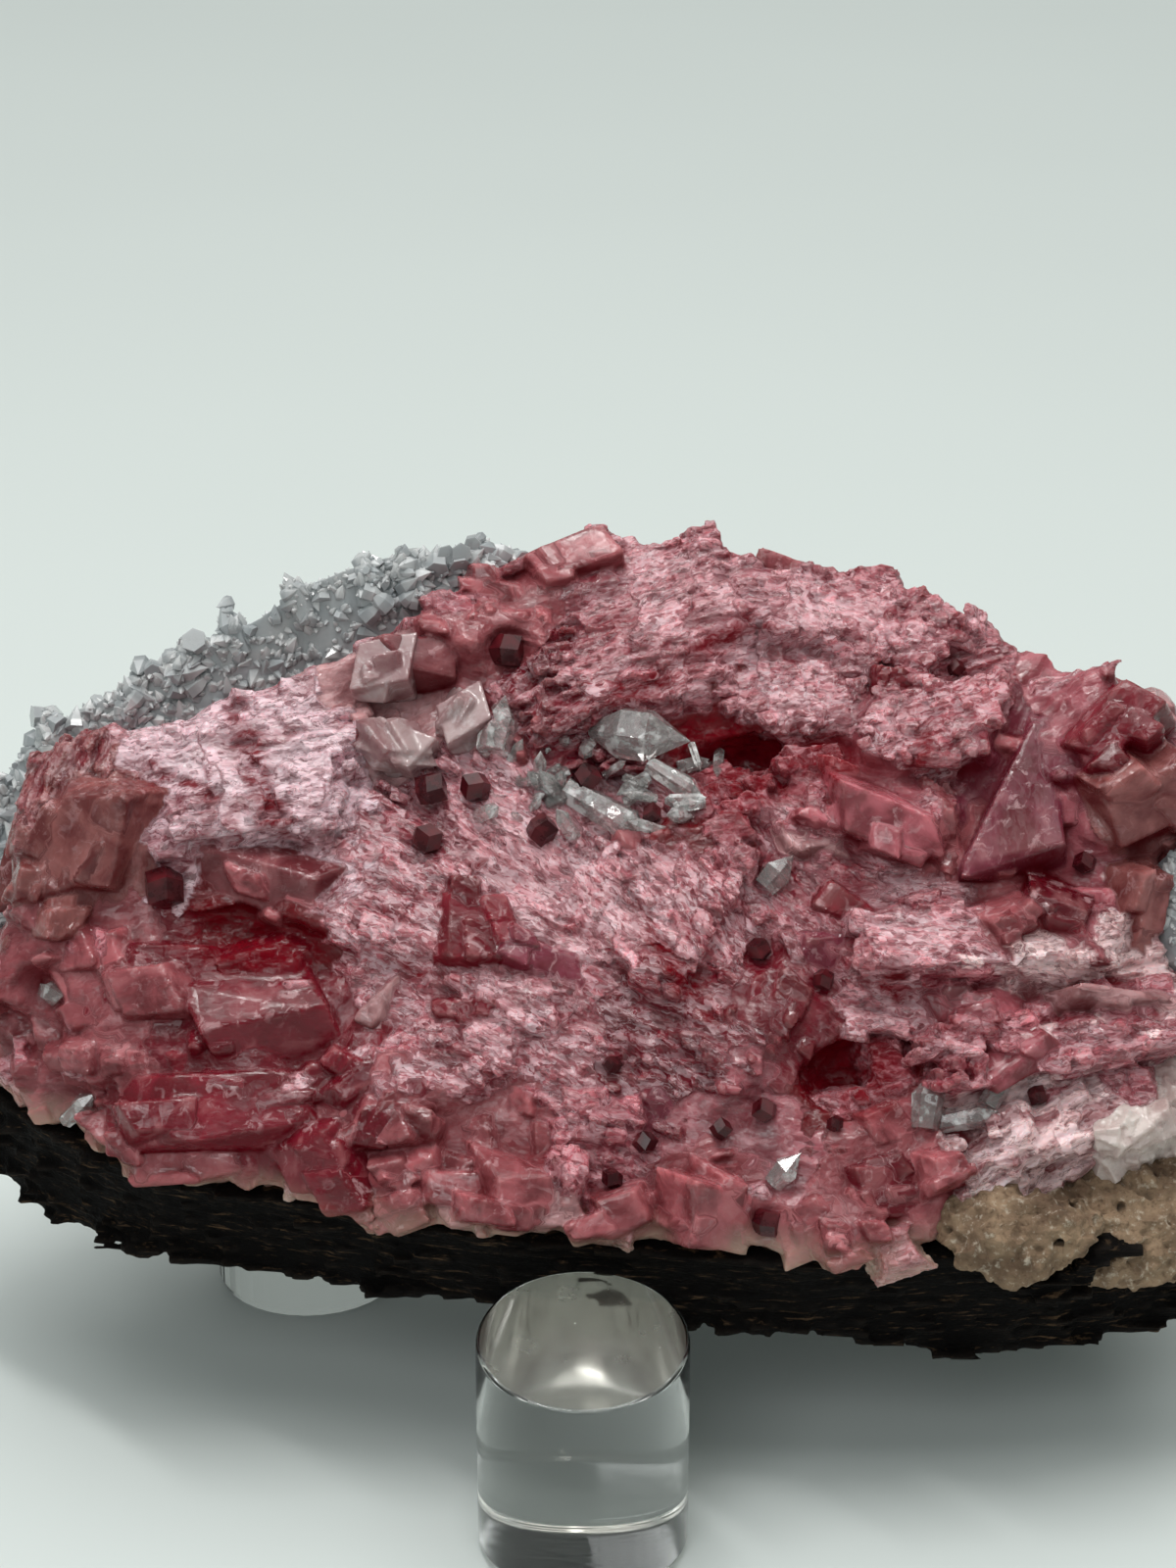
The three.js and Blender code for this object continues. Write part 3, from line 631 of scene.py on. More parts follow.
def acrylic_foot():
    """The sawn underside of a peg: clear, with short dark scuffs."""
    n = Nodes("acrylic_foot")
    place = n.place()
    scuff = n.noise(n.stretched(place, (0.45, 1.5, 1.0)), 900.0, 3.0)
    colour = n.mixed(n.between(scuff, 0.58, 0.62), rgba((250, 252, 250)), rgba((70, 72, 70)))
    n.set(Base_Color=colour, Transmission_Weight=1.0, IOR=1.49)
    n.set(Roughness=n.between(scuff, 0.3, 0.6, 0.02, 0.2))
    return n.material


def pale_stage():
    """The plain pale floor."""
    n = Nodes("stage")
    cloud = n.noise(n.place(), 3.0, 2.0)
    n.set(Base_Color=n.mixed(cloud, rgba((214, 221, 219)), rgba((219, 226, 224))), Roughness=0.7)
    return n.material


# ---- The pink mass ----

SHEEN_LILAC = (226, 186, 196)  # pale lilac pink: the pink lightened by painted sheen, where cleavage faces shine
PINK = (174, 93, 103)
ROSE = (196, 126, 135)
SALMON = (164, 88, 94)
BROWN = (140, 84, 82)
PLUM = (122, 50, 66)
RED = (116, 20, 36)
DEEP = (104, 8, 18)
PALE = (200, 152, 154)
FROST = (246, 206, 206)

# Zones of the front face, where the crystals lie alike: place x, z; slant of the streaks in degrees;
# length, width and stand-out of the flakes or crystals, all in millimetres; colour; how silky.
ZONES = [
    # the left block and its side
    (-67, 78, 80, (6, 3, 0.7), BROWN, 0.5),
    (-55, 80, 12, (7, 3, 0.25), SHEEN_LILAC, 1.0),
    (-51, 72, 12, (6, 2.5, 0.3), SHEEN_LILAC, 1.0),
    (-37, 82, 8, (7, 3, 0.25), SHEEN_LILAC, 1.0),
    (-33, 74, 25, (4, 2, 0.3), SHEEN_LILAC, 0.8),
    (-64, 69, 72, (6, 4, 1.2), BROWN, 0.1),
    (-61, 57, 20, (8, 5, 1.0), SALMON, 0.1),
    (-42, 63, -4, (9, 4, 0.4), DEEP, 0.0),
    (-50, 55, 6, (11, 6, 0.8), RED, 0.1),
    (-43, 47, 4, (10, 6, 0.8), RED, 0.1),
    (-60, 46, 10, (6, 5, 1.1), SALMON, 0.1),
    (-50, 39, 10, (7, 4, 1.0), SALMON, 0.1),
    (-31, 49, 55, (7, 5, 0.9), RED, 0.2),
    (-32, 40, 20, (6, 4, 1.0), SALMON, 0.1),
    # the smooth crystals, the crest and the right ridge
    (-16, 95, -10, (8, 5, 0.8), SALMON, 0.1),
    (-5, 101, 25, (7, 4, 0.7), SALMON, 0.3),
    (-26, 86, 10, (4, 3, 0.5), PALE, 0.3),
    (4, 100, 34, (5, 1.2, 0.3), ROSE, 0.9),
    (2, 93, 27, (5, 1.2, 0.3), PINK, 0.8),
    (-3, 87, 20, (4, 1.4, 0.4), RED, 0.5),
    (16, 99, 22, (4, 1.6, 0.5), ROSE, 0.7),
    (15, 91, 24, (4, 1.6, 0.4), ROSE, 0.7),
    (28, 97, -8, (2.5, 2, 0.6), ROSE, 0.8),
    (40, 96, -12, (2.5, 2, 0.6), ROSE, 0.7),
    (26, 89, 15, (4, 2, 0.5), ROSE, 0.9),
    (41, 87, 8, (2.5, 2, 0.6), PINK, 0.7),
    (15, 81, 8, (6, 3, 0.2), DEEP, 0.0),
    (33, 78, -14, (9, 6, 0.4), PINK, 0.2),
    # the right end
    (52, 79, 84, (9, 5, 0.3), PLUM, 0.1),
    (46, 72, -5, (6, 5, 0.9), SALMON, 0.1),
    (56, 70, 5, (6, 5, 0.9), PINK, 0.1),
    (60, 89, 40, (7, 5, 0.5), PINK, 0.2),
    (69, 84, 30, (6, 3.5, 0.6), PINK, 0.4),
    (64, 79, 25, (9, 3, 0.4), BROWN, 0.3),
    (72, 70, 20, (5, 4, 0.8), BROWN, 0.1),
    # the silky middle
    (-25, 68, -30, (4, 1.4, 0.3), PINK, 0.9),
    (-12, 75, -38, (4, 1.3, 0.3), ROSE, 0.9),
    (-10, 62, -30, (4, 1.2, 0.3), ROSE, 1.0),
    (4, 70, -55, (4, 1.2, 0.3), ROSE, 0.9),
    (13, 68, -52, (3.5, 1.3, 0.4), PINK, 0.8),
    (-21, 55, -20, (4, 1.6, 0.4), PINK, 0.9),
    (-5, 53, -25, (4, 1.6, 0.4), PINK, 0.8),
    (10, 56, -35, (4, 1.6, 0.4), RED, 0.6),
    (23, 67, -50, (4, 2, 0.5), PINK, 0.7),
    (24, 58, -40, (6, 4, 0.6), RED, 0.3),
    (30, 71, -20, (5, 2.5, 0.5), PINK, 0.6),
    # the lower right
    (38, 64, -6, (5, 1.6, 0.4), ROSE, 0.9),
    (54, 63, 0, (5, 1.6, 0.4), FROST, 0.9),
    (67, 61, 6, (6, 3, 0.4), FROST, 0.6),
    (31, 52, 5, (6, 4, 0.4), DEEP, 0.0),
    (44, 54, 5, (6, 2, 0.6), PINK, 0.5),
    (60, 54, 8, (6, 1.6, 0.5), PINK, 0.7),
    (47, 46, 12, (5, 1.6, 0.6), FROST, 0.9),
    (60, 46, 15, (5, 1.6, 0.6), FROST, 1.0),
    (36, 42, 15, (6, 4, 0.8), SALMON, 0.2),
    # the low band over the slate
    (19, 47, -10, (5, 3.5, 0.9), PINK, 0.4),
    (2, 45, -20, (5, 3.5, 0.9), PINK, 0.5),
    (-14, 44, -15, (6, 4, 0.9), SALMON, 0.3),
    (13, 37, 10, (5, 4, 0.9), SALMON, 0.1),
    (-10, 37, 5, (5, 4, 0.9), PALE, 0.1),
    (28, 35, 5, (5, 4, 0.9), SALMON, 0.1),
]
# The zones of the back follow each other by chance, so they have no place.
REAR = [
    (0, 0, 15, (6, 4, 0.9), PINK, 0.5),
    (0, 0, -20, (6, 4, 0.9), SALMON, 0.2),
    (0, 0, 30, (5, 2, 0.5), ROSE, 0.9),
    (0, 0, 5, (7, 5, 1.0), RED, 0.2),
]
REAR_PATCH = 17.0  # size of the back's zones, mm
ALL_ZONES = ZONES + REAR
ZONE_PLACES = np.array([zone[:2] for zone in ZONES], float)
ZONE_SIZES = np.array([zone[3] for zone in ALL_ZONES], float)
ZONE_COLOURS = np.array([linear(zone[4]) for zone in ALL_ZONES])
ZONE_SILK = np.array([zone[5] for zone in ALL_ZONES], float)
ZONE_GLASSY = ZONE_SILK < 0.45

# The crystals that stand out most: place x, z; slant in degrees; length, width and stand-out; colour.
LARGE = [
    (-63, 73, 70, (11, 9.5, 2.0), BROWN),  # the rounded lump at the left
    (-63, 59, 12, (15, 9, 1.8), SALMON),
    (-41.5, 69, -6, (17, 7.5, 1.6), SALMON),  # the slab over the deep band
    (-54, 55, 7, (20, 7, 1.3), RED),
    (-40, 54, 4, (13, 8, 1.6), RED),
    (-45, 46.5, 5, (20, 8, 1.5), RED),
    (-61, 48, 14, (10, 7, 1.6), SALMON),
    (-66, 43, 30, (7, 5, 1.4), SALMON),
    (-52, 40.5, 8, (14, 6, 1.6), SALMON),
    (-35, 41, 12, (11, 8, 1.7), RED),
    (-26, 48, 60, (10, 7, 1.5), SALMON),
    (-22, 40, 15, (9, 6, 1.5), SALMON),
    (-22, 93, 5, (9, 6, 1.4), SALMON),
    (-13, 97.5, -8, (8, 4, 1.2), SALMON),
    (-4, 101.5, 24, (9, 6, 1.3), SALMON),
    (-16, 65.5, -12, (9, 8, 0.9), RED),
    (-8, 63, -20, (8, 4, 0.8), PLUM),
    (34, 77, -22, (11, 5.5, 1.4), PINK),
    (24, 74, 10, (8, 5, 1.2), PALE),
    (55, 67, -15, (7, 5, 1.8), RED),
    (49, 66.5, 20, (6, 5, 2.0), SALMON),
    (62, 87, 50, (9, 7, 1.2), RED),
    (66, 85.5, 20, (8, 5, 1.2), PALE),
    (67, 79, 28, (12, 9, 1.2), BROWN),
    (73, 73, 60, (9, 6, 1.4), BROWN),
    (27, 62, 75, (10, 7, 1.2), PLUM),
    (49, 52, 20, (10, 3, 1.4), PINK),
    (44, 49, 62, (10, 2.5, 1.4), PALE),
    (61, 58, 4, (14, 3, 1.3), PALE),
    (21, 43, 10, (8, 6, 1.5), PINK),
    (13, 38, -20, (8, 6, 1.6), SALMON),
    (24, 36.5, 20, (9, 6, 1.6), SALMON),
    (33, 40, 5, (9, 6, 1.5), RED),
    (2, 38, 15, (8, 5, 1.5), SALMON),
    (-10, 40, -12, (9, 6, 1.5), SALMON),
    (5, 47, 30, (6, 5, 1.2), PLUM),
    (44, 57, 8, (13, 5, 1.0), PINK),
    (24, 66, -60, (9, 6, 1.0), PINK),
    (66, 66, 70, (9, 6, 1.6), BROWN),
]
# The same for crystals that end in a point.
POINTED = [
    (51, 77, 82, (17, 11, 4.2), PLUM),  # the dark pyramid
    (30, 67, -38, (10, 5, 1.2), RED),
    (-27, 57, 70, (8, 5, 1.2), PALE),
]
GROWN_LARGE = LARGE + POINTED

mass_points, mass_triangles = cad("rhodochrosite_mass")
mass_tree = BVHTree.FromPolygons(mass_points.tolist(), mass_triangles.tolist())
slate_points, slate_triangles = cad("slate_matrix")
slate_tree = BVHTree.FromPolygons(slate_points.tolist(), slate_triangles.tolist())
FAR_FRONT = cad_box[0][1] / MM - 50
CREAM_BAND = 4.5  # mm above the slate in which the mass turns to cream


def front_of_mass(x, z):
    """The point and normal of the mass that a look along +Y meets at x, z, or None."""
    point, normal, _, _ = mass_tree.ray_cast(Vector((x, FAR_FRONT, z)), Vector((0, 1, 0)))
    return (np.array(point), np.array(normal)) if point else None


def face_axes(x, z, slant, random, spread):
    """A crystal's three directions at a place: along its streaks, out of the face, across."""
    around = [front_of_mass(x + i, z + k) for i in (-4, 0, 4) for k in (-4, 0, 4)]
    normals = [hit[1] for hit in around if hit] or [np.array([0.0, -0.7, 0.7])]
    out = np.mean(normals, axis=0) + random.normal(0, spread, 3)
    out /= np.linalg.norm(out)
    a = math.radians(slant)
    along = np.array([math.cos(a), 0, math.sin(a)])
    along -= out * (along @ out)
    along /= np.linalg.norm(along)
    return np.stack([along, out, np.cross(along, out)])


zone_random = np.random.default_rng(4)
ZONE_AXES = np.array([face_axes(x, z, slant, zone_random, 0.14) for x, z, slant, *_ in ALL_ZONES])


def zone_of(points, facing):
    """The zone of each point; facing is the y part of its normal, positive at the back."""
    wander = np.stack([noise(points, 7, 1), noise(points, 7, 2)], 1) - 0.5
    ragged = np.stack([noise(points, 2, 3), noise(points, 2, 4)], 1) - 0.5
    place = points[:, [0, 2]] + 9 * wander + 4 * ragged
    best, zone = np.full(len(points), 1e9), np.zeros(len(points), int)
    for k, spot in enumerate(ZONE_PLACES):
        gap = ((place - spot) ** 2).sum(1)
        closer = gap < best
        best, zone = np.where(closer, gap, best), np.where(closer, k, zone)
    chance = np.clip(1.8 * noise(points, REAR_PATCH, 51) - 0.4, 0, 0.999)
    return np.where(facing > 0.25, len(ZONES) + (len(REAR) * chance).astype(int), zone)


def jittered(axes, spread, random):
    """Each set of axes turned a little, at random."""
    turn = random.normal(0, spread, (len(axes), 3))
    first = axes[:, 0] + turn[:, :1] * axes[:, 1] + turn[:, 1:2] * axes[:, 2]
    first /= np.linalg.norm(first, axis=1, keepdims=True)
    second = axes[:, 1] + turn[:, 2:] * axes[:, 2]
    second -= first * (first * second).sum(1, keepdims=True)
    second /= np.linalg.norm(second, axis=1, keepdims=True)
    return np.stack([first, second, np.cross(first, second)], 1)


EMBEDDED = [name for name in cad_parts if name.startswith(("garnet", "quartz_point", "pale_rhomb"))]
EMBEDDED_BOXES = [np.array(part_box(name)) / MM for name in EMBEDDED]
EMBEDDED_OUT = [
    face_axes(*(low + high)[[0, 2]] / 2, 0, zone_random, 0)[1]  # out of the face at each
    for low, high in EMBEDDED_BOXES
]


def clear_of_crystals(centres, axes, sizes, garnet_reach=0.5):
    """Which blocks leave the crystals that sit in the mass, and the space before the garnets, free."""
    clear = np.ones(len(centres), bool)
    for name, (low, high), out in zip(EMBEDDED, EMBEDDED_BOXES, EMBEDDED_OUT):
        size, garnet = (high - low).mean(), name.startswith("garnet")
        for ahead in (0, 0.8, 1.6) if garnet else (0,):
            spot = (low + high) / 2 + ahead * size * out
            offset = np.einsum("bij,bj->bi", axes, spot - centres)
            outside = offset - np.clip(offset, -sizes / 2, sizes / 2)
            clear &= np.linalg.norm(outside, axis=1) > size * (garnet_reach if garnet else 0.36)
    return clear


BLOCK_DEPTH = 4.0  # how far a block reaches into the mass, mm
MILKY_LEFT, MILKY_TOP = 57.0, 51.0  # no flakes grow over the milky quartz: x and z of its corner, mm


def stand_out(centres, axes, sizes):
    """How far the outermost corner of each block stands out of the CAD mass, in millimetres."""
    corners, _ = blocks(centres, axes, sizes, LEAN)
    most = np.empty(len(corners))
    for i, corner in enumerate(corners):
        place, normal, _, _ = mass_tree.find_nearest(Vector(corner))
        most[i] = (Vector(corner) - place).dot(normal)
    return most.reshape(-1, 8).max(1)


def mass_blocks(count, random):
    """The small crystals and flakes: centres, axes, sizes and zones. None stands out too far."""
    spots, normals = scattered(mass_points, mass_triangles, count, random)
    zone = zone_of(spots, normals[:, 1])
    axes = jittered(ZONE_AXES[zone], 0.17, random)
    spread = np.exp(random.normal(0, 0.4, (count, 2)))
    length, width, proud = ZONE_SIZES[zone].T
    sizes = np.stack([length * spread[:, 0], np.full(count, BLOCK_DEPTH), width * spread[:, 1]], 1)
    lift = proud * random.random(count) - BLOCK_DEPTH / 2
    centres = spots + lift[:, None] * axes[:, 1]
    limit = 1.6 * proud + 0.25
    over = np.ones(count, bool)
    for _ in range(4):
        over[over] = stand_out(centres[over], axes[over], sizes[over]) > limit[over]
        sizes[over] *= [0.62, 1.0, 0.75]
        centres[over] -= 0.25 * normals[over]
    over[over] = stand_out(centres[over], axes[over], sizes[over]) > limit[over]
    share = np.where(ZONE_GLASSY, 0.08, 0.5)[zone]
    kept = clear_of_crystals(centres, axes, sizes) & (random.random(count) < share) & ~over
    kept &= hollows_at(spots, normals)[0] < 0.2
    kept &= (spots[:, 0] < MILKY_LEFT) | (spots[:, 2] > MILKY_TOP) | (normals[:, 1] > 0.25)
    return centres[kept], axes[kept], sizes[kept], zone[kept]


LARGE_DEPTH = 8.0  # how far a large crystal reaches into the mass, mm
MOST_SUNK = 2.8  # how far a large crystal may sink to leave a smaller one in sight, mm
STEPS = 3  # smaller crystals grown parallel on each large one


def standing_place(x, z):
    """Where a look along +Y at x, z meets the mass, or the first place below that it meets."""
    return next(hit[0] for hit in (front_of_mass(x, z - drop) for drop in range(20)) if hit)


def large_crystals(random):
    """The large crystals, each turned to the face that it stands on: centres, axes, sizes."""
    centres, axes, sizes = [], [], []
    for x, z, slant, (length, width, proud), _ in GROWN_LARGE:
        place = standing_place(x, z)
        turned = face_axes(x, z, slant, random, 0.12)
        size = np.array([1.2 * length, LARGE_DEPTH, 1.25 * width])
        for sunk in np.arange(0, MOST_SUNK, 0.4):
            centre = place + (proud + 0.3 - sunk - LARGE_DEPTH / 2) * turned[1]
            if clear_of_crystals(centre[None], turned[None], size[None], 0.3)[0]:
                break
        centres.append(centre)
        axes.append(turned)
        sizes.append(size)
    return np.array(centres), np.array(axes), np.array(sizes)


REAR_COUNT = 70  # large crystals on the back
REAR_BEHIND = 14.0  # how far behind the front face the back's crystals stand at least, mm
REAR_COLOURS = (PINK, SALMON, ROSE, RED, BROWN)


def rear_crystals(random):
    """Large crystals all over the back of the mass, where no druse covers it: centres, axes, sizes."""
    spots, normals = scattered(mass_points, mass_triangles, 20 * REAR_COUNT, random)
    druse = BVHTree.FromPolygons(*(part.tolist() for part in cad("quartz_druse_left")))
    free = np.array([druse.find_nearest(Vector(spot))[3] > 7 for spot in spots])
    fronts = [front_of_mass(x, z) for x, z in spots[:, [0, 2]]]
    pairs = zip(spots[:, 1], fronts)
    behind = np.array([y - hit[0][1] > REAR_BEHIND if hit else False for y, hit in pairs])
    spots = spots[(normals[:, 1] > 0.3) & free & behind][:REAR_COUNT]
    slant = np.radians(random.normal(15, 25, len(spots)))
    out = random.normal([0, 0.85, 0.4], 0.2, (len(spots), 3))
    out /= np.linalg.norm(out, axis=1, keepdims=True)
    along = np.stack([np.cos(slant), np.zeros(len(spots)), np.sin(slant)], 1)
    along -= out * (along * out).sum(1, keepdims=True)
    along /= np.linalg.norm(along, axis=1, keepdims=True)
    sizes = random.uniform([6, LARGE_DEPTH, 4], [15, LARGE_DEPTH, 9], (len(spots), 3))
    proud = random.uniform(0.5, 1.8, len(spots))
    centres = spots + (proud - LARGE_DEPTH / 2)[:, None] * out
    return centres, np.stack([along, out, np.cross(along, out)], 1), sizes


def stepped(centres, axes, sizes, random):
    """Smaller crystals that stand parallel on each large one: centres, axes, sizes, its number."""
    parent = np.repeat(np.flatnonzero(LARGE_POINT == 0), STEPS)
    shrunk = sizes[parent] * random.uniform([0.3, 0.9, 0.3], [0.7, 1.0, 0.7], (len(parent), 3))
    away = random.uniform([-0.42, 0, -0.42], [0.42, 0, 0.42], (len(parent), 3)) * sizes[parent]
    away[:, 1] = random.uniform(-0.2, 0.8, len(parent)) + (sizes[parent] - shrunk)[:, 1] / 2
    places = centres[parent] + np.einsum("bi,bij->bj", away, axes[parent])
    turned = jittered(axes[parent], 0.06, random)
    clear = clear_of_crystals(places, turned, shrunk)
    return places[clear], turned[clear], shrunk[clear], parent[clear]


# The hollows and cracks, painted a deeper red that is partly the crystal's own and partly painted shade:
# place x, z; slant in degrees; half length, half width, depth, mm.
HOLLOWS = [
    (-42.5, 62.5, -6, (11.5, 3.4, 2.6)),
    (15, 80.8, -8, (9.5, 5.2, 2.6)),
    (26, 82, -12, (7, 2.6, 1.4)),
    (31, 51, 10, (7, 3.8, 2.4)),
    (-42, 80, -61, (10, 1.9, 0.9)),
    (-52, 79.5, -12, (7, 0.9, 0.4)),
    (16, 94, 20, (6, 1.6, 0.3)),
    (5, 89, 12, (7, 1.3, 0.4)),
    (39, 84, 60, (4, 1.2, 0.4)),
    (9, 62, -50, (8, 1.2, 0.5)),
    (-22, 61, 8, (6, 1.4, 0.4)),
    (36, 59, -20, (7, 1.5, 0.5)),
    (56, 57.5, 4, (10, 1.0, 0.6)),
]


def hollows_at(points, normals):
    """How far each point is inside a hollow of the front face, from 0 to 1, and its depth there."""
    share, depth = np.zeros((2, len(points)))
    ragged = 1.4 * np.stack([noise(points, 2.2, 41), noise(points, 2.2, 42)]) - 0.7
    for x, z, slant, (half_length, half_width, deepest) in HOLLOWS:
        a = math.radians(slant)
        right, above = points[:, 0] - x + ragged[0], points[:, 2] - z + ragged[1]
        along = (right * math.cos(a) + above * math.sin(a)) / half_length
        across = (above * math.cos(a) - right * math.sin(a)) / half_width
        here = np.exp(-((along**2 + across**2) ** 2)) * (normals[:, 1] < 0.25)
        share, depth = np.maximum(share, here), np.maximum(depth, here * deepest)
    return share, depth


def flaked(points, axes, size):
    """Sharp uneven flakes along each point's own crystal, from about -1 to 1."""
    own = np.einsum("bij,bj->bi", axes, points) * np.array([0.4, 1.0, 1.0])
    bent = own + 1.6 * np.stack([noise(own, 2.4 * size, 20 + k) for k in range(3)], 1)
    coarse, fine = noise(bent, size, 7), noise(bent, 0.45 * size, 8)
    return 1.2 * (1 - 2 * np.abs(2 * coarse - 1)) + 0.8 * (np.floor(4 * fine) / 4 - 0.4)


SEAMS = {"left": (-99, -27), "middle": (-27, 19), "right": (19, 99)}  # x of the three parts, mm
OVERLAP = 2.0  # how far a part's core runs on under its neighbour's blocks, mm
MASS_VOXEL = 0.3  # mm, the finest detail of the mass
MASS_FLAKES = 22000
MASS_TRIANGLES = 160000  # at most, in each part
CORE_VOXEL = 0.8  # mm
SMOOTH_INSIDE = 0.2  # mm round a large crystal that stays smooth


def socketed(points):
    """The core's points, moved back where an embedded crystal would otherwise be covered."""
    for (low, high), out in zip(EMBEDDED_BOXES, EMBEDDED_OUT):
        centre, radius = (low + high) / 2, (high - low).mean() / 2
        offset = points - centre
        proud = offset @ out
        aside = np.linalg.norm(offset - proud[:, None] * out, axis=1) / radius
        share = np.clip(2.0 - aside, 0, 1) * (np.abs(proud) < 4 * radius)
        points = points - (share * np.clip(proud + 0.15 * radius, 0, None))[:, None] * out
    return points


def softened_core():
    """The CAD mass with its long block edges worn down: points, triangles."""
    core = fused("core", [(mass_points, mass_triangles)], CORE_VOXEL)
    soft = core.modifiers.new("soft", "SMOOTH")
    soft.factor, soft.iterations = 0.6, 50
    applied(core)
    points, normals = points_of(core), normals_of(core)
    swell = 0.9 * (noise(points, 6.0, 31) - 0.5) + 0.7 * (noise(points, 3.0, 32) - 0.5)
    swell -= hollows_at(points, normals)[1]
    part = socketed(points + swell[:, None] * normals), triangles_of(core)
    bpy.data.objects.remove(core)
    return part


def core_between(whole, low, high):
    """The part of the core between two planes across x, as a closed mesh: points, triangles."""
    core = new_object("core", *whole)
    span = np.array([high - low, 400.0, 400.0])
    centre = np.array([(low + high) / 2, 0.0, 50.0])
    cutter = new_object("cutter", BOX_POINTS * span + centre, BOX_TRIANGLES)
    cut = core.modifiers.new("cut", "BOOLEAN")
    cut.operation, cut.solver, cut.object = "INTERSECT", "MANIFOLD", cutter
    applied(core)
    part = points_of(core), triangles_of(core)
    for obj in (core, cutter):
        bpy.data.objects.remove(obj)
    return part


def grown_shapes(mine, random):
    """The shapes of a part's crystals and flakes, and which of them each triangle belongs to."""
    parts, owners = [], []
    for k in np.flatnonzero(mine["glass"] > 0.5):
        shape = [mine[key][k] for key in ("centre", "axes", "size", "point")]
        parts.append(faceted(*shape, random))
        owners.append(np.full(len(parts[-1][1]), k))
    flakes = np.flatnonzero(mine["glass"] <= 0.5)
    parts.append(blocks(mine["centre"][flakes], mine["axes"][flakes], mine["size"][flakes], LEAN, random))
    owners.append(np.repeat(flakes, len(BOX_TRIANGLES)))
    return together(parts), np.concatenate(owners)


def mass_part(name, low, high, whole, grown, material):
    """One part of the mass: its core with its crystals fused on, flaked, and its crystals marked."""
    inside = (grown["centre"][:, 0] > low) & (grown["centre"][:, 0] < high)
    mine = {key: values[inside] for key, values in grown.items()}
    core = core_between(whole, low - OVERLAP, high + OVERLAP)
    shapes, owner = grown_shapes(mine, np.random.default_rng(9))
    obj = fused("rhodochrosite_" + name, [core, shapes], MASS_VOXEL)
    points, normals = points_of(obj), normals_of(obj)
    zone = zone_of(points, normals[:, 1])
    rise = (0.42 - 0.22 * ZONE_SILK[zone]) * flaked(points, ZONE_AXES[zone], 1.5)
    rough = np.clip(distance_to_large(points) - SMOOTH_INSIDE, 0, 1)
    rough = rough * np.where(ZONE_GLASSY[zone], 0.35, 1.0)
    worn = smoothed(obj, 5)
    move_points(obj, worn + (rough[:, None] * (points - worn)) + (rise * rough)[:, None] * normals)
    thinned(obj, MASS_TRIANGLES)
    mark_crystals(obj, mine, shapes, owner, core)
    finish_piece(obj, material, "rhodochrosite")
    return obj


def distance_to_large(points):
    """How far each point lies outside the nearest large crystal, in millimetres."""
    nearest = np.full(len(points), 9.0)
    for centre, axes, size in zip(*LARGE_CRYSTALS):
        offset = (points - centre) @ axes.T
        outside = offset - np.clip(offset, -size / 2, size / 2)
        nearest = np.minimum(nearest, np.linalg.norm(outside, axis=1))
    return nearest


def mark_crystals(obj, mine, shapes, owner, core):
    """Stores what the material needs: each point's colour, place in its crystal, silk, relief, and where
    it gets painted shade, painted highlight and painted sheen.
    """
    soup_points, soup_faces = together([shapes, core])
    tree = BVHTree.FromPolygons(soup_points.tolist(), soup_faces.tolist())
    points, normals = points_of(obj), normals_of(obj)
    face = np.array([tree.find_nearest(Vector(p))[2] for p in points])
    on_shape = face < len(owner)
    shape = owner[np.where(on_shape, face, 0)]
    zone = zone_of(points, normals[:, 1])
    glass = np.where(on_shape, mine["glass"][shape], 0.75 * ZONE_GLASSY[zone])
    random = np.random.default_rng(6)
    bright = np.exp(random.normal(0, 0.18, len(mine["glass"])))
    shift = random.uniform(-6, 6, (len(mine["glass"]), 3))
    own_colour = mine["colour"][shape] * bright[shape][:, None]
    crystal = (on_shape & (glass > 0.5))[:, None]
    axes = np.where(crystal[:, :, None], mine["axes"][shape], ZONE_AXES[zone])
    own = np.einsum("bij,bj->bi", axes, points)
    give(obj, "hue", np.where(on_shape[:, None], own_colour, ZONE_COLOURS[zone]))
    give(obj, "grain", own + np.where(crystal, shift[shape], 0))
    give(obj, "silk", np.where(on_shape, mine["silk"][shape], ZONE_SILK[zone]))
    give(obj, "glass", glass)
    # Painted shade: dark in the skin's recesses and on glassy faces that turn down, away from the light.
    cavity = np.clip((-relief(obj, 30) - 0.1) / 0.9, 0, 1)
    shaded = glass * np.clip(0.3 - normals[:, 2], 0, 0.6)
    give(obj, "painted_shade", np.clip(cavity + shaded, 0, 1))
    # hollow: where that deeper red goes, partly painted shade.
    give(obj, "hollow", hollows_at(points, normals)[0] * (distance_to_large(points) > 0.3))
    # edge: where the skin stands out, which gets the painted highlight.
    give(obj, "edge_highlight", np.clip((relief(obj, 2) - 0.03) / 0.12, 0, 1))
    # frost: how much painted sheen a glassy face gets, more the more it turns up to the light.
    give(obj, "frost", glass * np.clip(normals[:, 2] - 0.15, 0, 0.6))
    above_slate = np.array([slate_tree.find_nearest(Vector(p))[3] for p in points])
    give(obj, "cream", np.clip(1.1 - above_slate / CREAM_BAND, 0, 1))


def finish_piece(obj, material, slot, *nodes):
    """Dresses a piece, and says what it rides on and which nodes it replaces; slot, the name of its
    finish, is not used.
    """
    obj.data.materials.clear()
    obj.data.materials.append(material)
    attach(obj, "root")
    if nodes:
        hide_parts(*nodes)


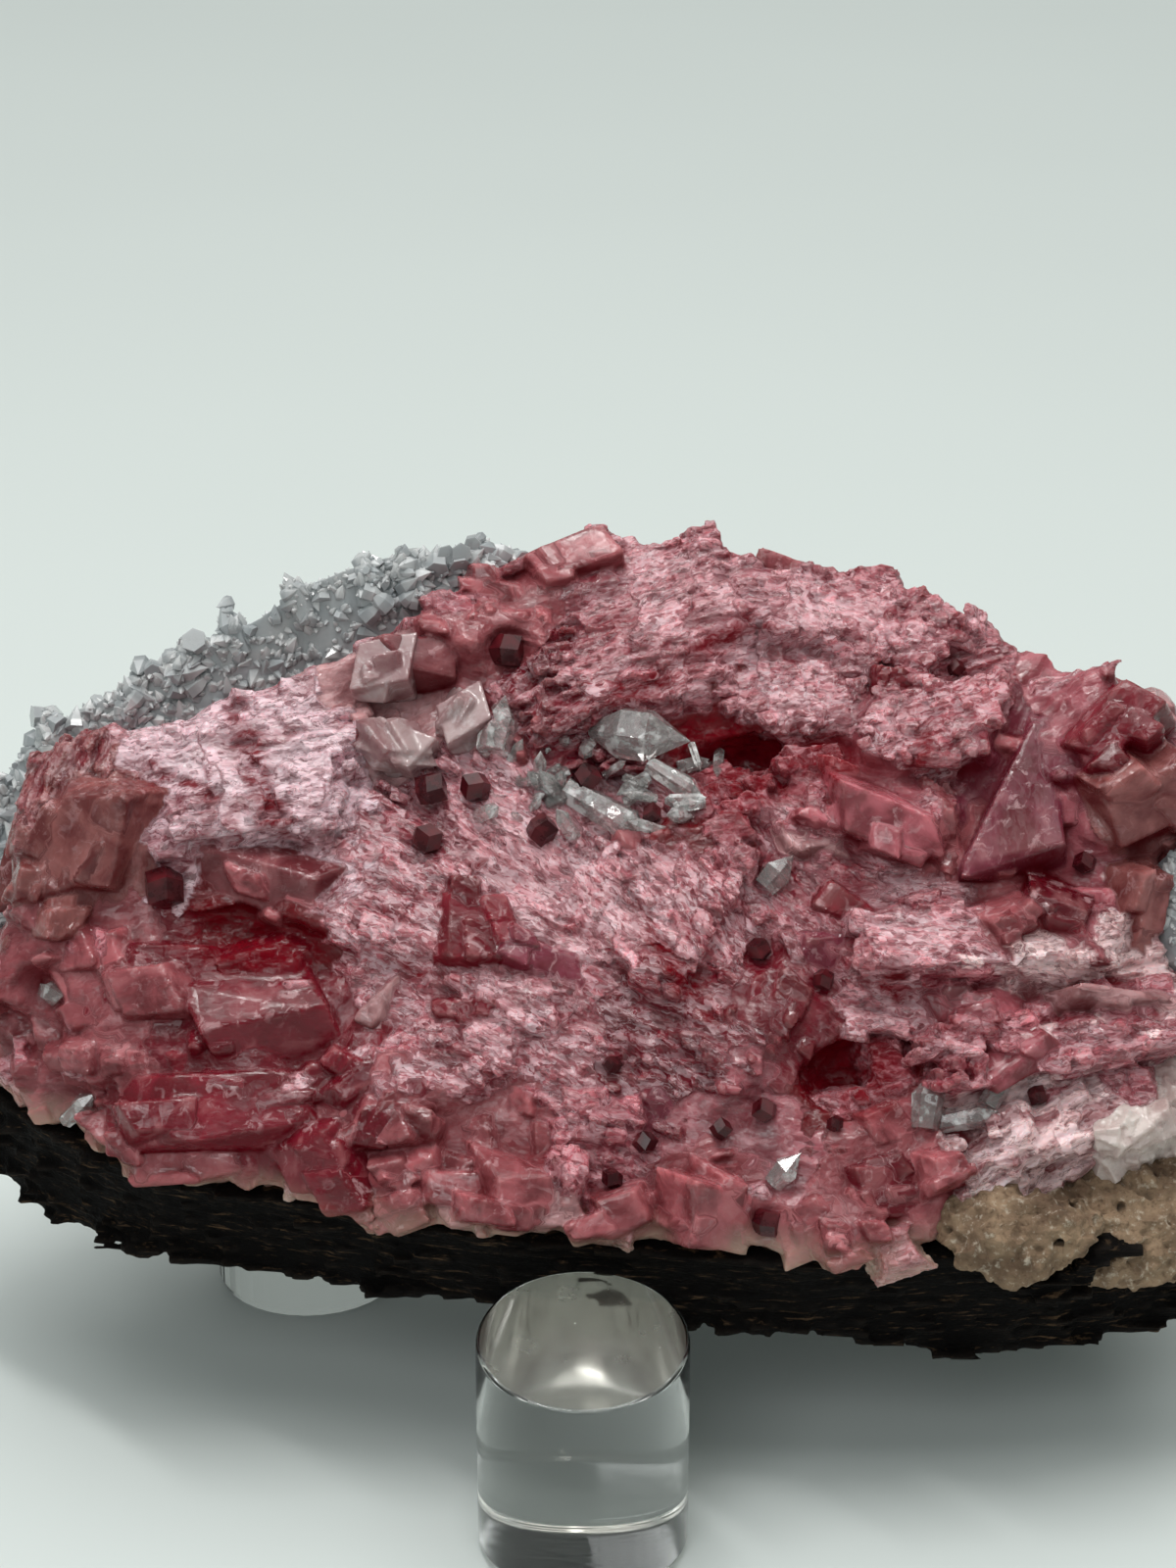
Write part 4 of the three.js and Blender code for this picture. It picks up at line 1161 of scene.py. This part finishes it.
FRONT_CRYSTALS = large_crystals(np.random.default_rng(15))
REAR_CRYSTALS = rear_crystals(np.random.default_rng(16))
LARGE_CRYSTALS = [np.concatenate(pair) for pair in zip(FRONT_CRYSTALS, REAR_CRYSTALS)]
REAR_MADE = len(REAR_CRYSTALS[0])
LARGE_POINT = np.concatenate([np.zeros(len(LARGE)), np.ones(len(POINTED)), np.zeros(REAR_MADE)])
LARGE_COLOURS = np.array(
    [linear(crystal[4]) for crystal in GROWN_LARGE]
    + [linear(REAR_COLOURS[k % len(REAR_COLOURS)]) for k in range(REAR_MADE)]
)


def build_mass():
    """The pink mass: its core with flakes and crystals grown on it, made in three parts."""
    random = np.random.default_rng(1)
    centres, axes, sizes, zone = mass_blocks(MASS_FLAKES, random)
    *steps, parent = stepped(*LARGE_CRYSTALS, random)
    large = len(LARGE_POINT)
    grown = {
        "centre": np.concatenate([LARGE_CRYSTALS[0], steps[0], centres]),
        "axes": np.concatenate([LARGE_CRYSTALS[1], steps[1], axes]),
        "size": np.concatenate([LARGE_CRYSTALS[2], steps[2], sizes]),
        "colour": np.concatenate([LARGE_COLOURS, LARGE_COLOURS[parent], ZONE_COLOURS[zone]]),
        "point": np.concatenate([LARGE_POINT, LARGE_POINT[parent], np.zeros(len(zone))]),
        "silk": np.concatenate([np.zeros(large + len(parent)), ZONE_SILK[zone]]),
        "glass": np.concatenate([np.ones(large + len(parent)), 1.0 * ZONE_GLASSY[zone]]),
    }
    material, whole = rhodochrosite(), softened_core()
    parts = [mass_part(name, low, high, whole, grown, material) for name, (low, high) in SEAMS.items()]
    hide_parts("rhodochrosite_mass")


# ---- The grey quartz druses ----

SHUT_REACH = 2.0  # a face of a druse this near the mass, or nearer, gets no crystals, mm


def build_druse(node, count, widths, seed, material):
    """A sugary crust of blunt quartz points of all sizes, of which little more than the tips stand out."""
    random = np.random.default_rng(seed)
    points, triangles = cad(node)
    spots, normals = scattered(points, triangles, 3 * count, random)
    shut = [
        mass_tree.ray_cast(Vector(spot + 0.1 * normal), Vector(normal), SHUT_REACH)[0] is not None
        for spot, normal in zip(spots, normals)
    ]
    spots, normals = (values[~np.array(shut)][:count] for values in (spots, normals))
    count = len(spots)
    direction = normals + random.normal(0, 0.5, (count, 3)) + [0, 0, 0.2]
    direction /= np.linalg.norm(direction, axis=1, keepdims=True)
    cluster = 0.65 + 0.7 * noise(spots, 7.0, seed)
    size = (widths[0] + (widths[1] - widths[0]) * random.random(count) ** 1.7) * cluster
    length = size * random.uniform(1.05, 1.4, count)
    swell = 1.0 * (noise(spots, 8.0, seed + 1) - 0.2)
    root = spots - (0.66 * length)[:, None] * direction + swell[:, None] * normals
    tips, tip_faces = quartz_points(root, direction, size, length, random.uniform(0, 3, count))
    all_points, faces = together([(points, triangles), (tips, tip_faces)])
    obj = new_object(node + "_crystals", all_points, faces)
    # tip: 0 at a point's root, 1 at its end; the material paints shade where it is low.
    per_point = np.tile([0.0] * 6 + [0.45] * 6 + [1.0, 0.0], count)
    give(obj, "tip", np.concatenate([np.full(len(points), 0.45), per_point]))
    give(obj, "tint", np.concatenate([np.zeros(len(points)), np.repeat(random.random(count), 14)]))
    finish_piece(obj, material, "druse", node)


# ---- The slate ----

SLATE_TILT = math.radians(14)  # of the bedding, down to the front
TILT_COS, TILT_SIN = math.cos(SLATE_TILT), math.sin(SLATE_TILT)
BED = np.array([[1, 0, 0], [0, TILT_COS, TILT_SIN], [0, -TILT_SIN, TILT_COS]])
SLATE_FLAKES = 8000
SLATE_TRIANGLES = 120000
CRUST_MIDDLE, CRUST_HALF = 49.0, 15.5  # x of the middle, and half width, of the crust on the slate, mm
CRUST_LOW, CRUST_SIDE = 30.5, 39.0  # z of its lower edge in the middle and at the sides, mm
CRUST_TOP = 42.0  # z, mm
CRUST_PROUD = 1.2  # how far the crust's grains stand in front of the CAD slate, mm
CRUST_BRIDGE = 4.0  # the grains bridge notches in the slate's edge less than twice this wide, mm


def crust_edge(x):
    """The height of the lower edge of the crust that lies on the slate's front."""
    return CRUST_LOW + (CRUST_SIDE - CRUST_LOW) * np.abs(x - CRUST_MIDDLE) / CRUST_HALF


def build_slate(material):
    """The slate: thin flakes that lie along its bedding, standing out of the CAD plate's broken edge."""
    random = np.random.default_rng(2)
    points, triangles = cad("slate_matrix")
    spots, normals = scattered(points, triangles, SLATE_FLAKES, random)
    under_crust = (np.abs(spots[:, 0] - CRUST_MIDDLE) < CRUST_HALF) & (spots[:, 1] < 0)
    under_crust &= spots[:, 2] > crust_edge(spots[:, 0])
    free = (normals @ BED[2] < 0.7) & ~under_crust
    spots, normals = spots[free], normals[free]
    spans = ((1.5, 8), (1.5, 5), (0.3, 0.9))
    sizes = np.stack([random.uniform(low, high, len(spots)) for low, high in spans], 1)
    axes = jittered(np.repeat(BED[None], len(spots), 0), 0.03, random)
    outward = normals - (normals @ BED[2])[:, None] * BED[2]
    lift = random.uniform(-2.3, -0.9, len(spots))[:, None]
    centres = spots + lift * outward - 0.4 * normals
    obj = fused("slate_flakes", [(points, triangles), blocks(centres, axes, sizes)], 0.45)
    co, normal = points_of(obj), normals_of(obj)
    bed = co @ BED.T
    rough = noise(bed * [0.25, 0.4, 1.6], 1.1, 3) + 0.6 * noise(bed * [0.4, 0.5, 2.0], 0.5, 4) - 0.8
    move_points(obj, co + (0.45 * rough)[:, None] * normal)
    thinned(obj, SLATE_TRIANGLES)
    give(obj, "bed", points_of(obj) @ BED.T)
    # edge: where the slate stands out, which gets the painted highlight.
    give(obj, "edge_highlight", np.clip((relief(obj, 2) - 0.03) / 0.15, 0, 1))
    finish_piece(obj, material, "slate", "slate_matrix")


# ---- The crust and the milky quartz ----

CRUST_TRIANGLES = 70000
MILKY_TRIANGLES = 40000


def loose_axes(count, random):
    """Directions of grains that lie any way round."""
    first = random.normal(0, 1, (count, 3))
    first /= np.linalg.norm(first, axis=1, keepdims=True)
    second = np.cross(first, random.normal(0, 1, (count, 3)))
    second /= np.linalg.norm(second, axis=1, keepdims=True)
    return np.stack([first, second, np.cross(first, second)], 1)


def grainy(node, name, count, grain, voxel, random, *more):
    """A CAD lump with loose grains fused on, and any more closed parts given."""
    points, triangles = cad(node)
    spots, normals = scattered(points, triangles, count, random)
    sizes = random.uniform(*grain, (count, 3))
    centres = spots - 0.25 * sizes.mean(1, keepdims=True) * normals
    grains = blocks(centres, loose_axes(count, random), sizes)
    return fused(name, [(points, triangles), grains, *more], voxel)


def crust_skin(random):
    """Grains of crust on the slate's front, down to a point in the middle, as closed blocks."""
    x = random.uniform(CRUST_MIDDLE - CRUST_HALF, CRUST_MIDDLE + CRUST_HALF, 1500)
    z = random.uniform(crust_edge(x), CRUST_TOP)
    looks = [slate_tree.ray_cast(Vector((a, FAR_FRONT, b)), Vector((0, 1, 0)))[0] for a, b in zip(x, z)]
    spots = np.array([spot for spot in looks if spot])
    apart = np.linalg.norm(spots[:, None, [0, 2]] - spots[None, :, [0, 2]], axis=2)
    outermost = np.where(apart < CRUST_BRIDGE, spots[None, :, 1], np.inf).min(axis=1)
    spots[:, 1] = outermost - CRUST_PROUD
    return blocks(spots, loose_axes(len(spots), random), random.uniform(1.2, 3.6, (len(spots), 3)))


def build_crust(material):
    """The crust: grains and lumps, with pits eaten into it that painted shade darkens."""
    random = np.random.default_rng(3)
    obj = grainy("weathered_crust", "crust_grains", 1600, (0.6, 3.2), 0.35, random, crust_skin(random))
    co, normal = points_of(obj), normals_of(obj)
    lumps = noise(co, 3.2, 5) - 0.5 + 0.5 * (noise(co, 1.3, 6) - 0.5) + 0.3 * (noise(co, 0.6, 8) - 0.5)
    pit = np.clip(1 - nearest_cell(co, 4.5, 40) / 0.85, 0, 1)
    move_points(obj, co + (1.1 * lumps - 1.6 * pit)[:, None] * normal)
    thinned(obj, CRUST_TRIANGLES)
    # Painted shade: darkest where the crust sinks below its smoothed surface.
    give(obj, "painted_shade", np.clip((-relief(obj, 12) - 0.15) / 0.5, 0, 1))
    finish_piece(obj, material, "crust", "weathered_crust")


MILKY_PATCH = ((60, 38), (73, 46))  # x, z of the corners of the part that lies over the mass, mm


def build_milky(material):
    """The milky quartz: loose grains on the CAD lump, and a patch of them over the mass."""
    random = np.random.default_rng(7)
    places = random.uniform(MILKY_PATCH[0], MILKY_PATCH[1], (160, 2))
    spots = np.array([hit[0] for hit in (front_of_mass(x, z) for x, z in places) if hit])
    patch = blocks(spots, loose_axes(len(spots), random), random.uniform(1.2, 4.0, (len(spots), 3)))
    obj = grainy("milky_quartz", "milky_quartz_grains", 520, (1.0, 4.2), 0.3, random, patch)
    thinned(obj, MILKY_TRIANGLES)
    finish_piece(obj, material, "milky_quartz", "milky_quartz")


# ---- The pocket of small quartz under the big point ----

POCKET_COUNT = 105
POCKET_REACH = (6.0, 2.0)  # spread of the pocket's crystals along x and z, mm
POCKET_BELOW = (-4.0, -5.5)  # from the big point to the pocket's middle, along x and z, mm


def build_pocket(material):
    """Blades and points of clear quartz, grown through each other below the big point."""
    random = np.random.default_rng(8)
    low, high = (np.array(corner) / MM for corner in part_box("quartz_point_01"))
    middle = (low + high)[[0, 2]] / 2 + POCKET_BELOW
    spread = random.normal(0, 1, (POCKET_COUNT, 2)) * POCKET_REACH + middle
    hits = [hit for hit in (front_of_mass(x, z) for x, z in spread) if hit]
    spots, normals = (np.array(values) for values in zip(*hits))
    count = len(spots)
    direction = 0.45 * normals + random.normal(0, 0.75, (count, 3)) * [1.0, 0.6, 0.6]
    direction /= np.linalg.norm(direction, axis=1, keepdims=True)
    size = random.uniform(0.9, 2.4, count)
    length = size * random.uniform(1.6, 4.0, count)
    root = spots - (0.45 * length)[:, None] * direction + 0.2 * normals
    clear = clear_of_crystals(spots, np.repeat(np.eye(3)[None], count, 0), size[:, None] * np.ones(3))
    root, direction, size, length = (values[clear] for values in (root, direction, size, length))
    turns = random.uniform(0, 3, len(root))
    obj = new_object("quartz_pocket", *quartz_points(root, direction, size, length, turns))
    finish_piece(obj, material, "clear_quartz")


# ---- The crystals that the CAD model places ----

RHOMB_TRIANGLES = 9000
RHOMB_PLATES = 5
WORN_EDGE = 0.12  # mm


def build_rhomb(node, material, random):
    """A pale rhomb as crystals grown together: the CAD one with thinner plates across it, worn."""
    points, triangles = cad(node)
    low, high = points.min(0), points.max(0)
    edges = points[triangles[:, 1]] - points[triangles[:, 0]]
    longest = edges[np.argmax(np.linalg.norm(edges, axis=1))]
    along = longest / np.linalg.norm(longest)
    across = np.cross(along, [0.2, 0.9, 0.4])
    across /= np.linalg.norm(across)
    main = np.stack([along, across, np.cross(along, across)])
    axes = jittered(np.repeat(main[None], RHOMB_PLATES, 0), 0.25, random)
    size = (high - low).mean() * random.uniform([0.5, 0.25, 0.3], [0.75, 0.5, 0.6], (RHOMB_PLATES, 3))
    centres = (low + high) / 2 + random.uniform(-0.17, 0.17, (RHOMB_PLATES, 3)) * (high - low)
    grown = [faceted(*shape, 0.0, random) for shape in zip(centres, axes, size)]
    obj = fused(node + "_crystal", [(points, triangles), *grown], 0.22)
    move_points(obj, np.clip(smoothed(obj, 3), low, high))
    thinned(obj, RHOMB_TRIANGLES)
    finish_piece(obj, material, "pale_rhomb", node)


def dress_crystals():
    """The quartz pocket, the pale rhombs, and finishes and worn edges for the CAD crystals."""
    dress = {"garnet": garnet_stone(), "quartz_point": clear_quartz()}
    build_pocket(dress["quartz_point"])
    pale, random = pale_crystal(), np.random.default_rng(21)
    for name in EMBEDDED:
        if name.startswith("pale_rhomb"):
            build_rhomb(name, pale, random)
            continue
        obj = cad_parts[name]
        obj.data.materials.clear()
        obj.data.materials.append(dress[name.rsplit("_", 1)[0]])
        worn = obj.modifiers.new("worn edges", "BEVEL")
        worn.width, worn.segments, worn.limit_method = WORN_EDGE * MM, 2, "ANGLE"


# ---- The pegs ----

PEG_SIDES = 160  # steps round a peg
PEG_SLANT = math.radians(8.5)  # of the front peg's top, down to the front
PEG_RIM = 0.5  # mm, worn off the upper rim
PEG_FOOT_RIM = 1.4  # mm, rounding of the lower rim


def peg_rings(radius, top):
    """Rings up the side of a peg, as (radius, height at each angle); top gives the cut's height."""
    angle = np.arange(PEG_SIDES) * 2 * math.pi / PEG_SIDES
    x, y = np.cos(angle), np.sin(angle)
    rings = [(radius - PEG_FOOT_RIM, np.zeros(PEG_SIDES))]
    for k in range(1, 7):
        a = k * math.pi / 12
        inward = PEG_FOOT_RIM * (1 - math.sin(a))
        rings.append((radius - inward, np.full(PEG_SIDES, PEG_FOOT_RIM * (1 - math.cos(a)))))
    rim = top(radius * x, radius * y)
    for k in range(5):
        a = k * math.pi / 8
        inward = PEG_RIM * (1 - math.cos(a))
        rings.append((radius - inward, rim - PEG_RIM * (1 - math.sin(a))))
    return [np.stack([r * x, r * y, z], 1) for r, z in rings]


def build_front_peg(material, foot, cut):
    """The front peg, with its slanted top, as one skin with a finish for its foot and its cut."""
    low, high = (np.array(corner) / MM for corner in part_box("acrylic_peg_front"))
    radius, centre = (high - low)[0] / 2, (low + high) / 2
    reach = high[2] - radius * math.tan(PEG_SLANT)
    rings = peg_rings(radius, lambda x, y: reach + y * math.tan(PEG_SLANT))
    points = np.concatenate(rings) + [centre[0], centre[1], 0]
    faces = []
    for i in range(len(rings) - 1):
        for j in range(PEG_SIDES):
            a, b = i * PEG_SIDES + j, i * PEG_SIDES + (j + 1) % PEG_SIDES
            faces.append([a, b, b + PEG_SIDES, a + PEG_SIDES])
    last = (len(rings) - 1) * PEG_SIDES
    lids = [list(range(PEG_SIDES))[::-1], list(range(last, last + PEG_SIDES))]
    mesh = bpy.data.meshes.new("acrylic_peg")
    mesh.from_pydata((points * MM).tolist(), [], faces + lids)
    obj = bpy.data.objects.new("acrylic_peg", mesh)
    bpy.context.scene.collection.objects.link(obj)
    finish_piece(obj, material, "acrylic", "acrylic_peg_front")
    mesh.materials.append(foot)
    mesh.materials.append(cut)
    for polygon in mesh.polygons:
        polygon.use_smooth = len(polygon.vertices) == 4
    mesh.polygons[len(faces)].material_index = 1
    mesh.polygons[len(faces) + 1].material_index = 2


def build_rear_peg(node, material):
    """A rear peg: the CAD one with smooth sides."""
    points, triangles = cad(node)
    obj = new_object(node + "_clear", points, triangles)
    obj.data.shade_smooth()
    obj.data.set_sharp_from_angle(angle=math.radians(25))
    finish_piece(obj, material, "acrylic", node)


# ---- The stage, the light and the camera ----

AIR_GAP = 0.15  # mm of air under a peg, which makes its foot reflect as on a real shelf
FLOOR_SIZE = 16000  # mm
CAMERA_PLACE = (-1.9, -377.25, 233.0)  # mm
CAMERA_DOWN = 22  # degrees that the camera looks down
CAMERA_LENS = 77.0  # mm of lens, on the usual 36 mm sensor


def build_stage():
    """The floor."""
    corners = BOX_POINTS[[0, 4, 6, 2]] * [FLOOR_SIZE, FLOOR_SIZE, 0] - [0, 0, AIR_GAP]
    floor = new_object("floor", corners, [[0, 1, 2, 3]])
    floor.data.materials.append(pale_stage())


def add_light(name, place, aim, size, power, colour):
    """A flat light; place, aim and size are in millimetres."""
    data = bpy.data.lights.new(name, "AREA")
    data.shape, data.size, data.size_y = "RECTANGLE", size[0] * MM, size[1] * MM
    data.energy, data.color = power, colour
    light = bpy.data.objects.new(name, data)
    light.location = Vector(place) * MM
    light.rotation_euler = (Vector(aim) - Vector(place)).to_track_quat("-Z", "Y").to_euler()
    bpy.context.scene.collection.objects.link(light)


def build_light():
    """A large soft light overhead, a strip that glints on the crystals, a weak front light, a sky."""
    add_light("overhead", (0, 620, 2600), (0, 620, 0), (3600, 3600), 59, (1.0, 0.995, 0.98))
    add_light("strip", (-60, -20, 760), (0, 30, 60), (420, 60), 1.5, (1.0, 0.99, 0.97))
    add_light("front", (-500, -1500, 1300), (0, 0, 60), (900, 700), 7.0, (0.97, 0.99, 1.0))
    world = bpy.data.worlds.new("world")
    world.use_nodes = True
    background = world.node_tree.nodes["Background"]
    background.inputs["Color"].default_value = rgba((222, 232, 227))
    background.inputs["Strength"].default_value = 0.34
    bpy.context.scene.world = world


def build_camera():
    """The camera, at the photo's viewing angle."""
    data = bpy.data.cameras.new("camera")
    data.lens, data.clip_start, data.clip_end = CAMERA_LENS, 0.01, 20.0
    camera = bpy.data.objects.new("camera", data)
    camera.location = Vector(CAMERA_PLACE) * MM
    camera.rotation_euler = Euler((math.radians(90 - CAMERA_DOWN), 0, 0))
    bpy.context.scene.collection.objects.link(camera)
    bpy.context.scene.camera = camera


build_camera()
build_light()
build_stage()
build_mass()
grey_quartz = quartz_crust()
build_druse("quartz_druse_left", 6400, (1.0, 2.9), 11, grey_quartz)
build_druse("quartz_druse_right", 1400, (0.8, 2.4), 12, grey_quartz)
build_slate(slate_stone())
build_crust(weathered_crust())
build_milky(milky_stone())
dress_crystals()
acrylic = clear_acrylic()
build_front_peg(acrylic, acrylic_foot(), cut_acrylic())
for node in ("acrylic_peg_rear_left", "acrylic_peg_rear_right"):
    build_rear_peg(node, acrylic)

# The colours were chosen under the plain view, so no film-like curve is laid over them.
bpy.context.scene.view_settings.view_transform = "Standard"
bpy.context.view_layer.update()
